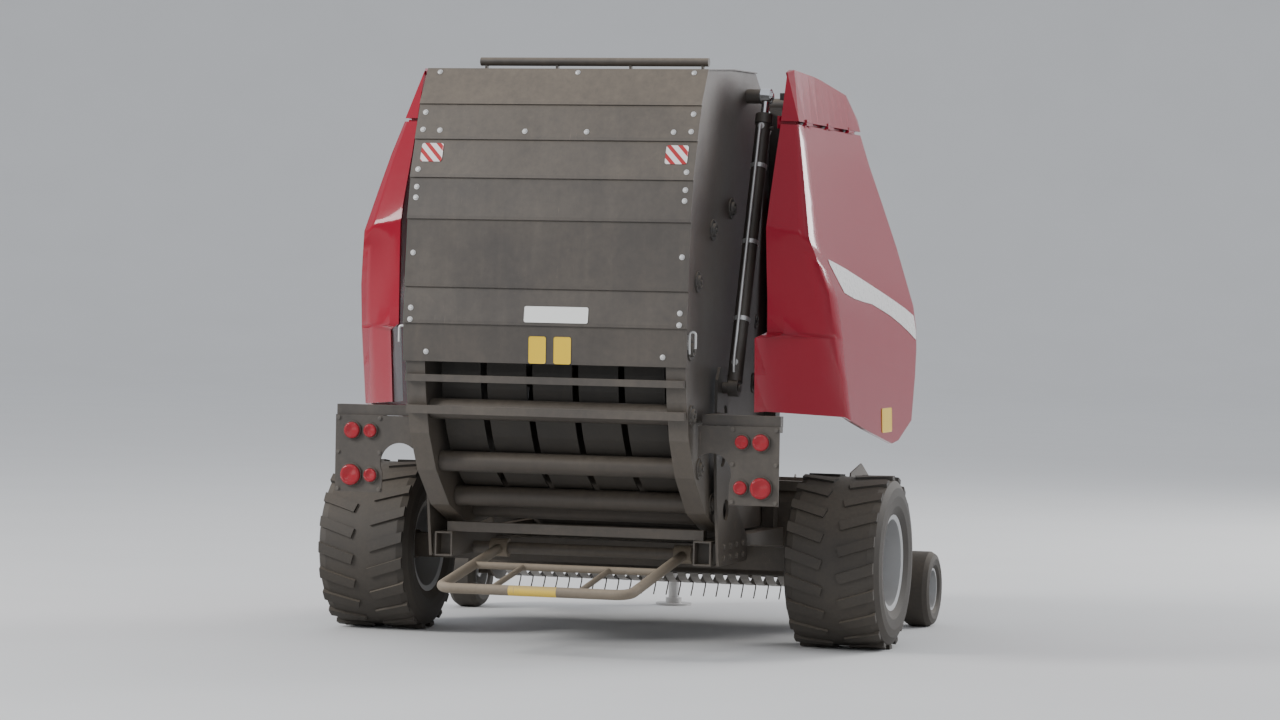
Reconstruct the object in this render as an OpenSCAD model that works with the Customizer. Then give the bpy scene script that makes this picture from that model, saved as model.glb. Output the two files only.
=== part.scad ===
// Round baler with hinged side doors, lifting tailgate and tined pickup.
// X points to the drawbar, Y to the left wheel, Z up; the ground is z = 0.

/* [Wheels] */
// Outer radius of the large tyres
tyre_r = 433; // [400:1:470]
// Section width of the large tyres
tyre_w = 490; // [420:1:520]
// Width over both large tyres
overall_w = 2936; // [2800:1:3000]
// Height of the tyre lugs
lug_h = 13; // [8:1:20]
// Lugs round one shoulder of a tyre
lug_n = 20; // [14:1:28]
// Rim radius at the tyre bead
rim_r = 222; // [210:1:235]
// Axle stub radius
stub_r = 40; // [30:1:50]
// Radius of the small gauge wheels
gauge_r = 200; // [170:1:220]
// Width of the small gauge wheels
gauge_w = 160; // [120:1:180]
// Outer face of the gauge wheels from the middle
gauge_y = 1350; // [1300:1:1380]
// Gauge wheel axle along the machine
gauge_x = 1460; // [1420:1:1530]

/* [Bale chamber] */
// Chamber centre along the machine
bale_x = -400; // [-450:1:-350]
// Chamber centre height
bale_z = 1420; // [1380:1:1460]
// Radius that the belts run at
belt_r = 700; // [650:1:720]
// Belt thickness
belt_t = 8; // [5:1:12]
// Width of one belt
belt_w = 200; // [150:1:215]
// Belt pitch across the machine
belt_pitch = 232; // [220:1:240]
// Chamber roller radius
roller_r = 50; // [40:1:58]
// Inner face of a side wall from the middle
wall_y = 606; // [590:1:620]
// Side wall sheet
wall_t = 8; // [6:1:12]

/* [Tailgate] */
// Tailgate hinge along the machine
hinge_x = 300; // [280:1:320]
// Tailgate hinge height
hinge_z = 2600; // [2580:1:2620]
// Half width of the tailgate
gate_y = 713; // [700:1:725]
// Gate sheet thickness
gate_t = 6; // [4:1:8]
// Height of the folded edge under each gate sheet
fold_h = 16; // [8:1:24]
// Step of the folded edge
fold_d = 9; // [4:1:12]

/* [Tailgate rams] */
// Lower ram pin along the machine
ram_bx = -700; // [-720:1:-680]
// Lower ram pin height
ram_bz = 1300; // [1280:1:1320]
// Upper ram pin along the machine
ram_tx = -200; // [-220:1:-180]
// Upper ram pin height
ram_tz = 2740; // [2720:1:2760]
// Ram centre from the middle
ram_y = 800; // [790:1:810]
// Ram barrel radius
barrel_r = 38; // [32:1:42]
// Ram rod radius
rod_r = 20; // [16:1:25]
// Ram pin radius
ram_pin_r = 18; // [14:1:20]

/* [Side covers] */
// Sheet depth of the covers
cover_t = 22; // [12:1:30]
// Door hinge line from the middle
door_hy = 1034; // [1032:1:1040]
// Door hinge line height
door_hz = 2599; // [2598:1:2600]
// Depth of the stripe on a door
stripe_t = 2; // [1:1:4]

/* [Chassis] */
// Half width to the inner face of a side beam
beam_y = 620; // [616:1:640]
// Side beam width
beam_w = 90; // [70:1:90]
// Side beam height
beam_h = 120; // [90:1:130]
// Underside of the side beams
beam_z = 430; // [400:1:440]
// Draw beam width
draw_w = 100; // [80:1:120]
// Draw beam height
draw_h = 140; // [110:1:150]
// Hitch eye along the machine
hitch_x = 2850; // [2750:1:2900]
// Hitch eye height
hitch_z = 520; // [450:1:600]
// Hitch eye bore radius
hitch_bore = 25; // [20:1:26]
// Hitch eye outer radius
hitch_eye_r = 55; // [48:1:60]

/* [Pickup and rotor] */
// Rotor and pickup pivot along the machine
rotor_x = 920; // [900:1:940]
// Rotor and pickup pivot height
rotor_z = 620; // [600:1:640]
// Rotor tip radius
rotor_r = 215; // [190:1:220]
// Star plates on the rotor
star_n = 14; // [10:1:16]
// Reel axis along the machine
reel_x = 1420; // [1400:1:1440]
// Reel axis height
reel_z = 360; // [350:1:380]
// Reach of the tines from the reel axis
tine_tip = 260; // [240:1:265]
// Tine radius
tine_r = 3.5; // [2.5:0.5:5]
// Tine bars round the reel
bar_n = 4; // [3:1:5]
// Pitch of tines and bands across the pickup
tine_pitch = 70; // [60:1:80]
// Bands across the pickup
band_n = 29; // [21:2:31]
// Width of one band
band_w = 46; // [36:1:50]
// Radius of the bands
band_r = 215; // [205:1:220]
// Pickup side plates, inner face from the middle
pick_y = 1075; // [1070:1:1090]

/* [Drives] */
// Chain pitch
chain_p = 34; // [30:1:40]
// Spline bore radius in the drive yoke
yoke_bore = 17.5; // [17:0.5:22.5]
// Drive shaft guard radius
guard_r = 46; // [40:1:55]

/* [Kicker, stand and lamps] */
// Rear tube of the bale kicker along the machine
kick_x = -1335; // [-1360:1:-1320]
// Rear tube height
kick_z = 320; // [300:1:340]
// Kicker pivot along the machine
kick_px = -400; // [-420:1:-380]
// Kicker pivot height
kick_pz = 460; // [450:1:470]
// Kicker tube radius
kick_r = 25; // [20:1:30]
// Half width between the kicker tube centres
kick_y = 480; // [450:1:500]
// Parking stand along the machine
jack_x = 2150; // [2100:1:2200]
// Parking stand from the middle
jack_y = 300; // [280:1:320]
// Lamp radius
lamp_r = 47; // [40:1:52]

/* [Hidden] */
// Gap between two pieces that touch in one body
gap = 0.3;
// Sheet of the hollow side boxes
skin = 4;
// Running clearance of shafts, on the radius
run = 0.05;
steel = [0.16, 0.16, 0.17];
dark = [0.1, 0.1, 0.11];
red = [0.65, 0.03, 0.04];
silver = [0.7, 0.7, 0.7];
black = [0.04, 0.04, 0.04];
wheel_y = overall_w / 2 - tyre_w / 2;
kick_len = sqrt(pow(kick_x - kick_px, 2) + pow(kick_z - kick_pz, 2));
kick_tilt = atan2(kick_z - kick_pz, kick_px - kick_x);
shift_x = (hitch_x + hitch_eye_r + kick_x - kick_r) / 2;
ram_len = sqrt(pow(ram_tx - ram_bx, 2) + pow(ram_tz - ram_bz, 2));
ram_tilt = atan2(ram_tz - ram_bz, ram_tx - ram_bx);
wall_out = wall_y + wall_t;
// Draw beam ends: x, y, z
draw_a = [600, 420, 1300];
draw_b = [2500, 85, 740];
// Drive line ends: x, z
pto_a = [1170, 1150];
pto_b = [2600, 900];
pto_len = sqrt(pow(pto_b[0] - pto_a[0], 2) + pow(pto_b[1] - pto_a[1], 2));
pto_tilt = atan2(pto_b[1] - pto_a[1], pto_b[0] - pto_a[0]);
cross_x = 900;
cross_z = 1030;
// Hinge line that the cover rows are drawn to, and the height that stays when it moves
drawn_hy = 1034;
drawn_hz = 2599;
keep_z = 900;
// Rails that carry the covers
rail_y = door_hy - 126;
rail_z = door_hz + 117;
rail_w = 24;

// Outer line of the gate sheets: x, z
gate_line = [
    [-60, 2866], [-500, 2858], [-963, 2832], [-1070, 2649], [-1130, 2477], [-1189, 2290],
    [-1219, 2090], [-1237, 1763], [-1252, 1586], [-1238, 1404]
];
// Lower round of the gate sides: x, z
gate_low = [
    [-1206, 1235], [-1150, 1050], [-1035, 868], [-830, 690], [-560, 592], [-400, 578], [-254, 590],
    [-158, 606]
];
// Front edge of the gate sides, up to the top: x, z
gate_split = [[170, 2450], [100, 2750]];
// Fixed side wall: height of its foot, then x, z
wall_foot = 560;
wall_line = [
    [-147, 596], [-120, wall_foot], [560, wall_foot], [640, 700], [640, 2560], [560, 2700], [380, 2700],
    [300, 2660], [242, 2585], [179, 2450]
];

// Moves a piece from the axle to the middle of the machine
module put() {
    translate([-shift_x, 0, 0]) children();
}

// Plate across Y from an outline in X and Z
module yplate(pts, y0, t) {
    translate([0, y0 + t, 0]) rotate([90, 0, 0]) linear_extrude(height = t) polygon(pts);
}

// Round bar along Y
module ybar(x, z, y0, y1, r) {
    translate([x, y1, z]) rotate([90, 0, 0]) cylinder(h = y1 - y0, r = r, $fn = 48);
}

// Box with its corner at p
module box(p, s) {
    translate(p) cube(s);
}

// The same on both sides
module both() {
    children();
    mirror([0, 1, 0]) children();
}

// Square beam between two points
module beam(a, b, w, h) {
    d = b - a;
    n = sqrt(d[0] * d[0] + d[1] * d[1] + d[2] * d[2]);
    m = sqrt(d[0] * d[0] + d[1] * d[1]);
    translate(a) rotate([0, -atan2(d[2], m), atan2(d[1], d[0])])
        translate([0, -w / 2, -h / 2]) cube([n, w, h]);
}

// Round tube between two points
module rod(a, b, r, f = 32) {
    d = b - a;
    n = sqrt(d[0] * d[0] + d[1] * d[1] + d[2] * d[2]);
    m = sqrt(d[0] * d[0] + d[1] * d[1]);
    translate(a) rotate([0, 90 - atan2(d[2], m), atan2(d[1], d[0])]) cylinder(h = n, r = r, $fn = f);
}

// Ring sector across Y about a centre in X and Z
module arc_plate(cx, cz, r0, r1, a0, a1, y0, w, step = 6) {
    n = ceil((a1 - a0) / step);
    yplate([
        for (i = [0 : n]) [cx + r1 * cos(a0 + (a1 - a0) * i / n), cz + r1 * sin(a0 + (a1 - a0) * i / n)],
        for (i = [n : -1 : 0]) [cx + r0 * cos(a0 + (a1 - a0) * i / n), cz + r0 * sin(a0 + (a1 - a0) * i / n)]
    ], y0, w);
}

// Chassis
module main_frame() color(steel) put() {
    difference() {
        union() {
            both() box([-740, beam_y, beam_z], [1400, beam_w, beam_h]);
            box([-60, -wheel_y + 150, tyre_r - 60], [120, 2 * wheel_y - 300, 120]);
            both() ybar(0, tyre_r, wheel_y - 152, wheel_y + 60, stub_r);
            both() ybar(0, tyre_r, wheel_y - 160, wheel_y - 130, 75);
            box([540, -beam_y - 4, beam_z], [80, 2 * beam_y + 8, 100]);
            box([-700, -beam_y - 40, beam_z + beam_h + 2], [60, 2 * beam_y + 80, 48]);
            both() box([-700, beam_y + 10, beam_z + beam_h - 2], [60, 30, 6]);
            ybar(kick_px, kick_pz, -beam_y - 4, beam_y + 4, 30);
            both() box([560, beam_y, beam_z + 20], [90, 62, rail_z - 36 - beam_z]);
            box([560, -beam_y - 62, draw_a[2] - 70], [90, 2 * beam_y + 124, 140]);
            both() box([560, 380, 500], [70, 80, 760]);
            box([630, -170, 1100], [20, 340, 160]);
            box([552, -beam_y - 4, wall_foot - gap - 70], [70, 2 * beam_y + 8, 70]);
        }
        both() box([-760, beam_y + 8, beam_z + 8], [90, beam_w - 16, beam_h - 16]);
    }
}

// Plates outside the gate that carry the rams and lamp arms
module rear_outriggers() color(steel) put() both() {
    difference() {
        yplate([
            [-720, beam_z], [-200, beam_z], [-200, beam_z + beam_h], [-520, 800], [-600, 1130],
            [-610, 1370], [-660, 1400], [-760, 1400], [-800, 1340], [-812, 1100], [-780, 760]
        ], 732, 14);
        for (q = [[-655, 1180, 34], [-690, 960, 46], [-610, 700, 52]])
            ybar(q[0], q[1], 720, 760, q[2]);
    }
    box([-700, beam_y + beam_w + gap, beam_z + 12], [440, 24, beam_h - 24]);
    ybar(ram_bx, ram_bz, 744, ram_y + 34, ram_pin_r);
    ybar(ram_bx, ram_bz, 744, ram_y - 28, 28);
    box([-1040, 738, 1128], [300, 50, 50]);
    box([-1040, 740, 1128], [50, 385, 50]);
    box([-760, 742, 1000], [14, 44, 150]);
}

// Fixed half of the bale chamber
module chamber_walls() color(steel) put() both() difference() {
    union() {
        yplate(wall_line, wall_y, wall_t);
        ybar(hinge_x, hinge_z, wall_y, wall_out, 62);
        ybar(hinge_x, hinge_z, wall_out - 1, 690, 30);
    }
    ybar(rotor_x, rotor_z, 590, 620, rotor_r + 36);
    box([560 - gap, 590, draw_a[2] - 70 - gap], [100, 40, 140 + 2 * gap]);
}

function on_ring(r, a) = [bale_x + r * cos(a), bale_z + r * sin(a)];
roll_at = belt_r + belt_t + roller_r + 0.5;

module rollers(list, half) {
    for (a = list) {
        p = on_ring(roll_at, a);
        ybar(p[0], p[1], -half + 2, half - 2, roller_r);
        ybar(p[0], p[1], -half - 0.2, half + 0.2, 22);
    }
}

module belts(a0, a1) {
    for (i = [-2 : 2])
        arc_plate(bale_x, bale_z, belt_r, belt_r + belt_t, a0, a1, i * belt_pitch - belt_w / 2, belt_w, 7);
}

module chamber_rollers() color(silver) put() rollers([-57, -33, -9, 15, 39], wall_y - 0.5);

module front_belts() color(black) put() belts(-60, 43);

// Tubes over the chamber that carry the covers
module top_frame() color(steel) put() {
    ybar(605, rail_z + 19, -rail_y - rail_w, rail_y + rail_w, 34);
    both() {
        box([-350, rail_y, rail_z], [1130, rail_w, 34]);
        box([740, rail_y, rail_z - 56], [24, rail_w, 70]);
        box([560, beam_y, rail_z - 16 + gap], [90, 62, 20]);
    }
}

// Converging draw beams, hitch head and eye
head_x = 2380;
module draw_beams(more) both() beam(draw_a, draw_b, draw_w + 2 * more, draw_h + 2 * more);
module drawbar() color(steel) put() {
    difference() {
        draw_beams(0);
        box([draw_a[0] - 60, -600, draw_a[2] - 200], [132 + 2 * gap, 1200, 400]);
        box([head_x - gap, -400, 500], [400, 800, 500]);
    }
    both() box([650 + gap, 340, 1205], [22, 150, 170]);
    difference() {
        union() {
            box([head_x, -140, 640], [150, 280, 170]);
            box([2520, -95, 440], [40, 190, 360]);
            box([2555, -70, hitch_z - 45], [250, 140, 90]);
            translate([hitch_x, 0, hitch_z - 22]) cylinder(h = 44, r = hitch_eye_r, $fn = 64);
            box([2760, -40, hitch_z - 22], [80, 80, 44]);
            // Rest under the shaft guard
            box([head_x + 4, -20, 800], [20, 40, 75]);
            box([head_x + 4, -45, 870], [20, 90, 14]);
        }
        translate([hitch_x, 0, hitch_z - 60]) cylinder(h = 120, r = hitch_bore, $fn = 64);
    }
    difference() {
        box([1250, -300, 1010], [70, 600, 46]);
        draw_beams(gap);
    }
    difference() {
        box([jack_x - 50, 150, 740], [100, jack_y - 110, 80]);
        draw_beams(gap);
        translate([jack_x, jack_y, 700]) cylinder(h = 200, r = 35 + gap, $fn = 48);
    }
}

// Trough behind the rotor and its augers
module rotor_housing() color(steel) put() difference() {
    union() {
        arc_plate(rotor_x, rotor_z, rotor_r + 20, rotor_r + 28, 130, 322, -1050, 2100, 6);
        both() yplate([
            [rotor_x - 250, rotor_z - 120], [rotor_x - 120, rotor_z - 240], [rotor_x + 130, rotor_z - 240],
            [rotor_x + 240, rotor_z - 40], [rotor_x + 210, rotor_z + 190], [rotor_x + 40, rotor_z + 260],
            [rotor_x - 190, rotor_z + 220], [rotor_x - 255, rotor_z + 60]
        ], 1042, 8);
        both() ybar(rotor_x, rotor_z, 1046, 1100, 40);
        box([650 + gap, -1050, rotor_z + 120], [65, 2100, 50]);
    }
    both() ybar(rotor_x, rotor_z, 1030, 1110, 20 + run);
}

// Net wrap housing on the front, with the hinge line of its lid
lid_x = 690;
lid_z = 2262;
wrap_line = [[655, 1420], [1150, 1420], [1290, 1560], [1330, 1760], [1240, 2080], [1150, 2160], [655, 2230]];
wrap_in = [[661, 1426], [1147, 1426], [1350, 1620], [1390, 1760], [1300, 2250], [661, 2260]];
module wrap_housing() color(dark) put() {
    difference() {
        yplate(wrap_line, -700, 1400);
        yplate(wrap_in, -694, 1388);
    }
    both() box([650 + gap, 624, 1500], [6, 54, 600]);
    for (y = [-440, 440]) {
        ybar(lid_x, lid_z, y - 60, y + 60, 4);
        ybar(lid_x, lid_z, y - 10, y + 10, 9);
        box([656, y - 10, 2190], [lid_x - 647, 20, lid_z - 2190]);
    }
}

// Lid over the net wrap housing, hinged at its upper rear edge
lid_line = [
    [704, 2238], [1156, 2172], [1249, 2090], [1341, 1762], [1300, 1552], [1200, 1440], [1205, 1436],
    [1306, 1549], [1347, 1762], [1254, 2093], [1159, 2178], [704, 2258]
];
module wrap_lid() color(red) put() {
    yplate(lid_line, -712, 1424);
    for (y = [-480, -400, 400, 480]) difference() {
        union() {
            ybar(lid_x, lid_z, y - 18, y + 18, 9);
            box([lid_x, y - 18, lid_z - 14], [16, 36, 10]);
        }
        ybar(lid_x, lid_z, y - 30, y + 30, 4 + run);
    }
    both() yplate([
        [706, 2240], [1156, 2174], [1249, 2091], [1341, 1762], [1300, 1700], [1225, 2050], [1140, 2120],
        [706, 2190]
    ], 704, 8);
    for (s = [-1, 1]) translate([1330, s * 300 - 60, 1790]) cube([24, 120, 14]);
}

module net_roll() color([0.9, 0.9, 0.88]) put() {
    ybar(960, 1780, -625, 625, 130);
    ybar(960, 1780, -693.5, 693.5, 30);
}

// Main gearbox with its cross shaft
module gearbox() color(dark) put() difference() {
    union() {
        box([770, -140, 960], [270, 280, 260]);
        box([720, -170, 1010], [60, 340, 240]);
        translate([pto_a[0], 0, pto_a[1]]) rotate([0, 90 - pto_tilt, 0]) translate([0, 0, -170])
            cylinder(h = 120, r = 70, $fn = 48);
        ybar(cross_x, cross_z, 130, 400, 60);
        ybar(cross_x, cross_z, 390, 1090, 45);
        box([650 + gap, -150, 1120], [80, 300, 100]);
        box([650 + gap, 624, cross_z - 45], [240, 54, 90]);
    }
    translate([pto_a[0], 0, pto_a[1]]) rotate([0, 90 - pto_tilt, 0]) translate([0, 0, -130])
        cylinder(h = 200, r = 22 + run, $fn = 48);
}

// Sprocket in the X Z plane
module sprocket(x, z, y0, t, r, hub) {
    n = round(2 * PI * r / chain_p);
    yplate([
        for (i = [0 : n - 1], k = [[-0.36, -8], [-0.16, 6], [0.16, 6], [0.36, -8]])
            [x + (r + k[1]) * cos(360 * (i + k[0]) / n), z + (r + k[1]) * sin(360 * (i + k[0]) / n)]
    ], y0, t);
    ybar(x, z, y0 - 8, y0 + t + 8, hub);
}

// Points of a chain round two sprockets: centres a and b, pitch radii ra and rb
function dist(a, b) = sqrt(pow(b[0] - a[0], 2) + pow(b[1] - a[1], 2));
function chain_g(a, b, ra, rb) = acos((ra - rb) / dist(a, b));
function chain_s(a, b, ra, rb) = sqrt(pow(dist(a, b), 2) - pow(ra - rb, 2));
function chain_len(a, b, ra, rb) = let (g = chain_g(a, b, ra, rb))
    2 * chain_s(a, b, ra, rb) + PI / 180 * (2 * g * rb + (360 - 2 * g) * ra);
function chain_pt(a, b, ra, rb, s) = let (
    g = chain_g(a, b, ra, rb),
    l = chain_s(a, b, ra, rb),
    p = atan2(b[1] - a[1], b[0] - a[0]),
    arc_b = PI / 180 * 2 * g * rb,
    a1 = [a[0] + ra * cos(p + g), a[1] + ra * sin(p + g)],
    b1 = [b[0] + rb * cos(p + g), b[1] + rb * sin(p + g)],
    b2 = [b[0] + rb * cos(p - g), b[1] + rb * sin(p - g)],
    a2 = [a[0] + ra * cos(p - g), a[1] + ra * sin(p - g)],
    wb = p + g - (s - l) / rb * 180 / PI,
    wa = p - g - (s - 2 * l - arc_b) / ra * 180 / PI
) s < l ? a1 + (b1 - a1) * s / l
    : s < l + arc_b ? [b[0] + rb * cos(wb), b[1] + rb * sin(wb)]
    : s < 2 * l + arc_b ? b2 + (a2 - b2) * (s - l - arc_b) / l
    : [a[0] + ra * cos(wa), a[1] + ra * sin(wa)];

// Chain links, alternately wide and narrow
module chain(a, b, ra, rb, y0) {
    full = chain_len(a, b, ra, rb);
    run_s = chain_s(a, b, ra, rb);
    arc_s = PI / 90 * chain_g(a, b, ra, rb) * rb;
    n = 2 * round(full / chain_p / 2);
    for (i = [0 : n - 1]) {
        p = chain_pt(a, b, ra, rb, full * i / n);
        q = chain_pt(a, b, ra, rb, full * (i + 1) / n * 0.99999);
        u = (q - p) / dist(p, q);
        v = [-u[1], u[0]];
        w = i % 2 == 0 ? 8 : 4 + gap;
        for (k = [-w - 4, w])
            yplate([
                p - u * 8, p - u * 2 + v * 9, q + u * 2 + v * 9, q + u * 8, q + u * 2 - v * 9, p - u * 2 - v * 9
            ], y0 + k, 4);
        s = full * i / n;
        if ((s > 40 && s < run_s - 40) || (s > run_s + arc_s + 40 && s < 2 * run_s + arc_s - 40))
            translate([p[0], y0 + 13, p[1]]) rotate([90, 0, 0]) cylinder(h = 26, r = 5, $fn = 6);
    }
}

main_a = [cross_x, cross_z];
main_b = [rotor_x, rotor_z];
module drive_sprockets() color(steel) put() {
    sprocket(cross_x, cross_z, 1113, 8, 81, 34);
    ybar(cross_x, cross_z, 1090 + gap, 1110, 30);
}

module drive_chain() color(steel) put() chain(main_a, main_b, 85, 140, 1117);

module pto_guard() color([0.08, 0.08, 0.08]) put()
    translate([pto_a[0], 0, pto_a[1]]) rotate([0, 90 - pto_tilt, 0]) difference() {
        union() {
            translate([0, 0, 30]) cylinder(h = pto_len - 120, r = guard_r, $fn = 48);
            translate([0, 0, -50 + gap]) cylinder(h = 51, r = 78, $fn = 48);
            cylinder(h = 90, r1 = 78, r2 = guard_r, $fn = 48);
            translate([0, 0, pto_len - 180]) cylinder(h = 90, r1 = guard_r, r2 = 74, $fn = 48);
            translate([0, 0, pto_len / 2]) cylinder(h = 24, r = guard_r + 8, $fn = 48);
        }
        translate([0, 0, -10]) cylinder(h = pto_len + 20, r = guard_r - 5, $fn = 48);
        translate([0, 0, -60]) cylinder(h = 66, r = 66, $fn = 48);
        translate([0, 0, pto_len - 118]) cylinder(h = 40, r = 58, $fn = 48);
    }

module pto_shaft() color(steel) put()
    translate([pto_a[0], 0, pto_a[1]]) rotate([0, 90 - pto_tilt, 0]) difference() {
        union() {
            translate([0, 0, -125]) cylinder(h = pto_len + 60, r = 22, $fn = 48);
            translate([0, 0, -45]) cylinder(h = 90, r = 38, $fn = 48);
            translate([0, 0, pto_len - 90]) cylinder(h = 70, r = 38, $fn = 48);
            translate([0, 0, pto_len - 10]) cylinder(h = 90, r = 34, $fn = 48);
            translate([-38, -12, pto_len - 60]) cube([76, 24, 70]);
        }
        translate([0, 0, pto_len + 10]) cylinder(h = 100, r = yoke_bore, $fn = 48);
    }

// Parking stand
module jack_tube() color(steel) put() difference() {
    union() {
        translate([jack_x, jack_y, 352]) cylinder(h = 608, r = 35, $fn = 48);
        translate([jack_x, jack_y, 950]) cylinder(h = 60, r = 42, $fn = 48);
        rod([jack_x, jack_y, 985], [jack_x, jack_y + 120, 985], 12);
        rod([jack_x, jack_y + 110, 985], [jack_x + 150, jack_y + 110, 985], 10);
        rod([jack_x + 140, jack_y + 100, 985], [jack_x + 140, jack_y + 220, 985], 12);
    }
    translate([jack_x, jack_y, 340]) cylinder(h = 590, r = 30 + run, $fn = 48);
}

module jack_leg() color(silver) put() {
    translate([jack_x, jack_y, 0]) cylinder(h = 12, r = 100, $fn = 48);
    translate([jack_x, jack_y, 10]) cylinder(h = 30, r = 45, $fn = 48);
    translate([jack_x, jack_y, 10]) cylinder(h = 610, r = 30, $fn = 48);
}

// Lamp boards behind the wheels
module light_boards() color(dark) put() both() difference() {
    union() {
        yplate([[-1056, 750], [-1048, 750], [-1048, 1127.7], [-1056, 1127.7]], 880, 245);
        box([-1056, 880, 1100], [60, 245, 27.7]);
        box([-1056, 724, 880], [8, 157, 247]);
    }
    translate([-1070, 790, 895]) rotate([0, 90, 0]) cylinder(h = 40, r = 100, $fn = 48);
    box([-1070, 690, 800], [40, 190, 95]);
}

module lamps() color([0.8, 0.05, 0.03]) put() both() for (z = [840, 1055]) {
    translate([-1056 - gap, 965, z]) rotate([0, -90, 0]) cylinder(h = 26, r = lamp_r, $fn = 48);
    translate([-1056 - gap, 1062, z]) rotate([0, -90, 0]) cylinder(h = 20, r = lamp_r - 14, $fn = 48);
}

// Side covers: rows from top to bottom, each with inner rear edge, rear crease and front edge
door_rows = [
    [[-462, 944, 2592], [-420, 1026, 2592], [852, 1031, 2592]],
    [[-535, 942, 2430], [-497, 1064, 2430], [905, 1070, 2436]],
    [[-620, 942, 2250], [-572, 1104, 2240], [1084, 1110, 2218]],
    [[-660, 942, 2160], [-615, 1128, 2125], [1232, 1150, 2015]],
    [[-689, 941, 2080], [-649, 1147, 2034], [1383, 1213, 1708]],
    [[-680, 945, 1890], [-573, 1182, 1900], [1413, 1224, 1590]],
    [[-668, 949, 1740], [-498, 1215, 1767], [1405, 1230, 1480]],
    [[-663, 950, 1574], [-437, 1231, 1574], [1375, 1233, 1359]],
    [[-829, 932, 1546], [-429, 1233, 1546], [1369, 1234, 1342]],
    [[-793, 928, 1187], [-290, 1257, 1160], [1276, 1240, 1104]]
];
door_cols = 10;
// Steps between two rows and across the rear facet
door_steps = 2;
facet_cols = 4;
// Moves a point of a row with the hinge line, less so towards the lower edge
function follow(p) = let (k = (p[2] - keep_z) / (drawn_hz - keep_z))
    [p[0], p[1] + (door_hy - drawn_hy) * k, keep_z + (door_hz - keep_z) * k];
// Drop of the lower edge along the door
function door_sag(t) = lookup(t, [[0, 0], [0.345, -66], [0.75, -134], [1, 0]]);
function door_line(v, c) = let (
    i = min(floor(v), len(door_rows) - 2),
    f = v - i
) door_rows[i][c] * (1 - f) + door_rows[i + 1][c] * f;
function door_at(v, t) = let (
    g = max(0, v - len(door_rows) + 2)
) follow(door_line(v, 1) * (1 - t) + door_line(v, 2) * t + [0, 0, door_sag(t) * g]);
function facet_at(v, t) = follow(door_line(v, 0)) * (1 - t) + door_at(v, 0) * t;
door_places = [for (r = [0 : (len(door_rows) - 1) * door_steps]) r / door_steps];
door_out = [for (v = door_places) [
    for (k = [0 : facet_cols - 1]) facet_at(v, k / facet_cols),
    for (k = [0 : door_cols]) door_at(v, k / door_cols),
    follow(door_line(v, 2)) + [-10, -80, 0]
]];
door_in = [for (v = door_places) [
    for (k = [0 : facet_cols]) let (
        t = k / facet_cols
    ) facet_at(v, t) + [cover_t * (1 - 0.2 * t), -cover_t * t, 0],
    for (k = [1 : door_cols - 1]) door_at(v, k / door_cols) + [0, -cover_t, 0],
    follow(door_line(v, 2)) + [-cover_t, -cover_t, 0],
    follow(door_line(v, 2)) + [-10 - cover_t, -80, 0]
]];

// Closed shell between an outer and an inner grid
module shell(go, gi) {
    nr = len(go);
    nc = len(go[0]);
    m = nr * nc;
    polyhedron(
        points = [for (g = [go, gi], r = [0 : nr - 1], c = [0 : nc - 1]) g[r][c]],
        faces = [
            for (r = [0 : nr - 2], c = [0 : nc - 2], k = [0 : 3]) let (
                o = r * nc + c,
                p = o + nc
            ) k == 0 ? [o, p, p + 1]
                : k == 1 ? [o, p + 1, o + 1]
                : k == 2 ? [m + o, m + p + 1, m + p]
                : [m + o, m + o + 1, m + p + 1],
            for (c = [0 : nc - 2], k = [0 : 3]) let (
                o = (nr - 1) * nc + c
            ) k == 0 ? [c, c + 1, m + c + 1]
                : k == 1 ? [c, m + c + 1, m + c]
                : k == 2 ? [o + 1, o, m + o]
                : [o + 1, m + o, m + o + 1],
            for (r = [0 : nr - 2], k = [0 : 3]) let (
                o = r * nc,
                p = o + nc - 1
            ) k == 0 ? [o + nc, o, m + o]
                : k == 1 ? [o + nc, m + o, m + o + nc]
                : k == 2 ? [p, p + nc, m + p + nc]
                : [p, m + p + nc, m + p]
        ],
        convexity = 6
    );
}

// Hinge places along the seam
seam_x = [-260, 180, 620];

module side_door() {
    shell(door_out, door_in);
    for (x = seam_x, s = [-60, 22]) difference() {
        union() {
            rod([x + s, door_hy, door_hz], [x + s + 38, door_hy, door_hz], 7);
            box([x + s, door_hy - 14, door_hz - 22], [38, 10, 22]);
        }
        rod([x + s - 5, door_hy, door_hz], [x + s + 43, door_hy, door_hz], 3 + run);
    }
}
module side_door_left() color(red) put() side_door();
module side_door_right() color(red) put() mirror([0, 1, 0]) side_door();

// Stripe: place along the door, upper and lower edge as rows
stripe_rows = [
    [0.13, 4.42, 4.60], [0.2, 4.36, 5.50], [0.3, 4.32, 5.70], [0.4, 4.28, 5.70], [0.5, 4.24, 5.68],
    [0.6, 4.20, 5.66], [0.7, 4.16, 5.64], [0.8, 4.13, 5.62], [0.9, 4.10, 5.60], [0.99, 4.08, 5.58]
];
stripe_steps = 5;
function stripe_grid(off) = [for (j = [0 : stripe_steps]) [
    for (q = stripe_rows) door_at(q[1] + (q[2] - q[1]) * j / stripe_steps, q[0]) + [0, off, 0]
]];
module door_stripe() shell(stripe_grid(1 + stripe_t), stripe_grid(1));
module door_stripe_left() color([0.92, 0.92, 0.9]) put() door_stripe();
module door_stripe_right() color([0.92, 0.92, 0.9]) put() mirror([0, 1, 0]) door_stripe();

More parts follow.
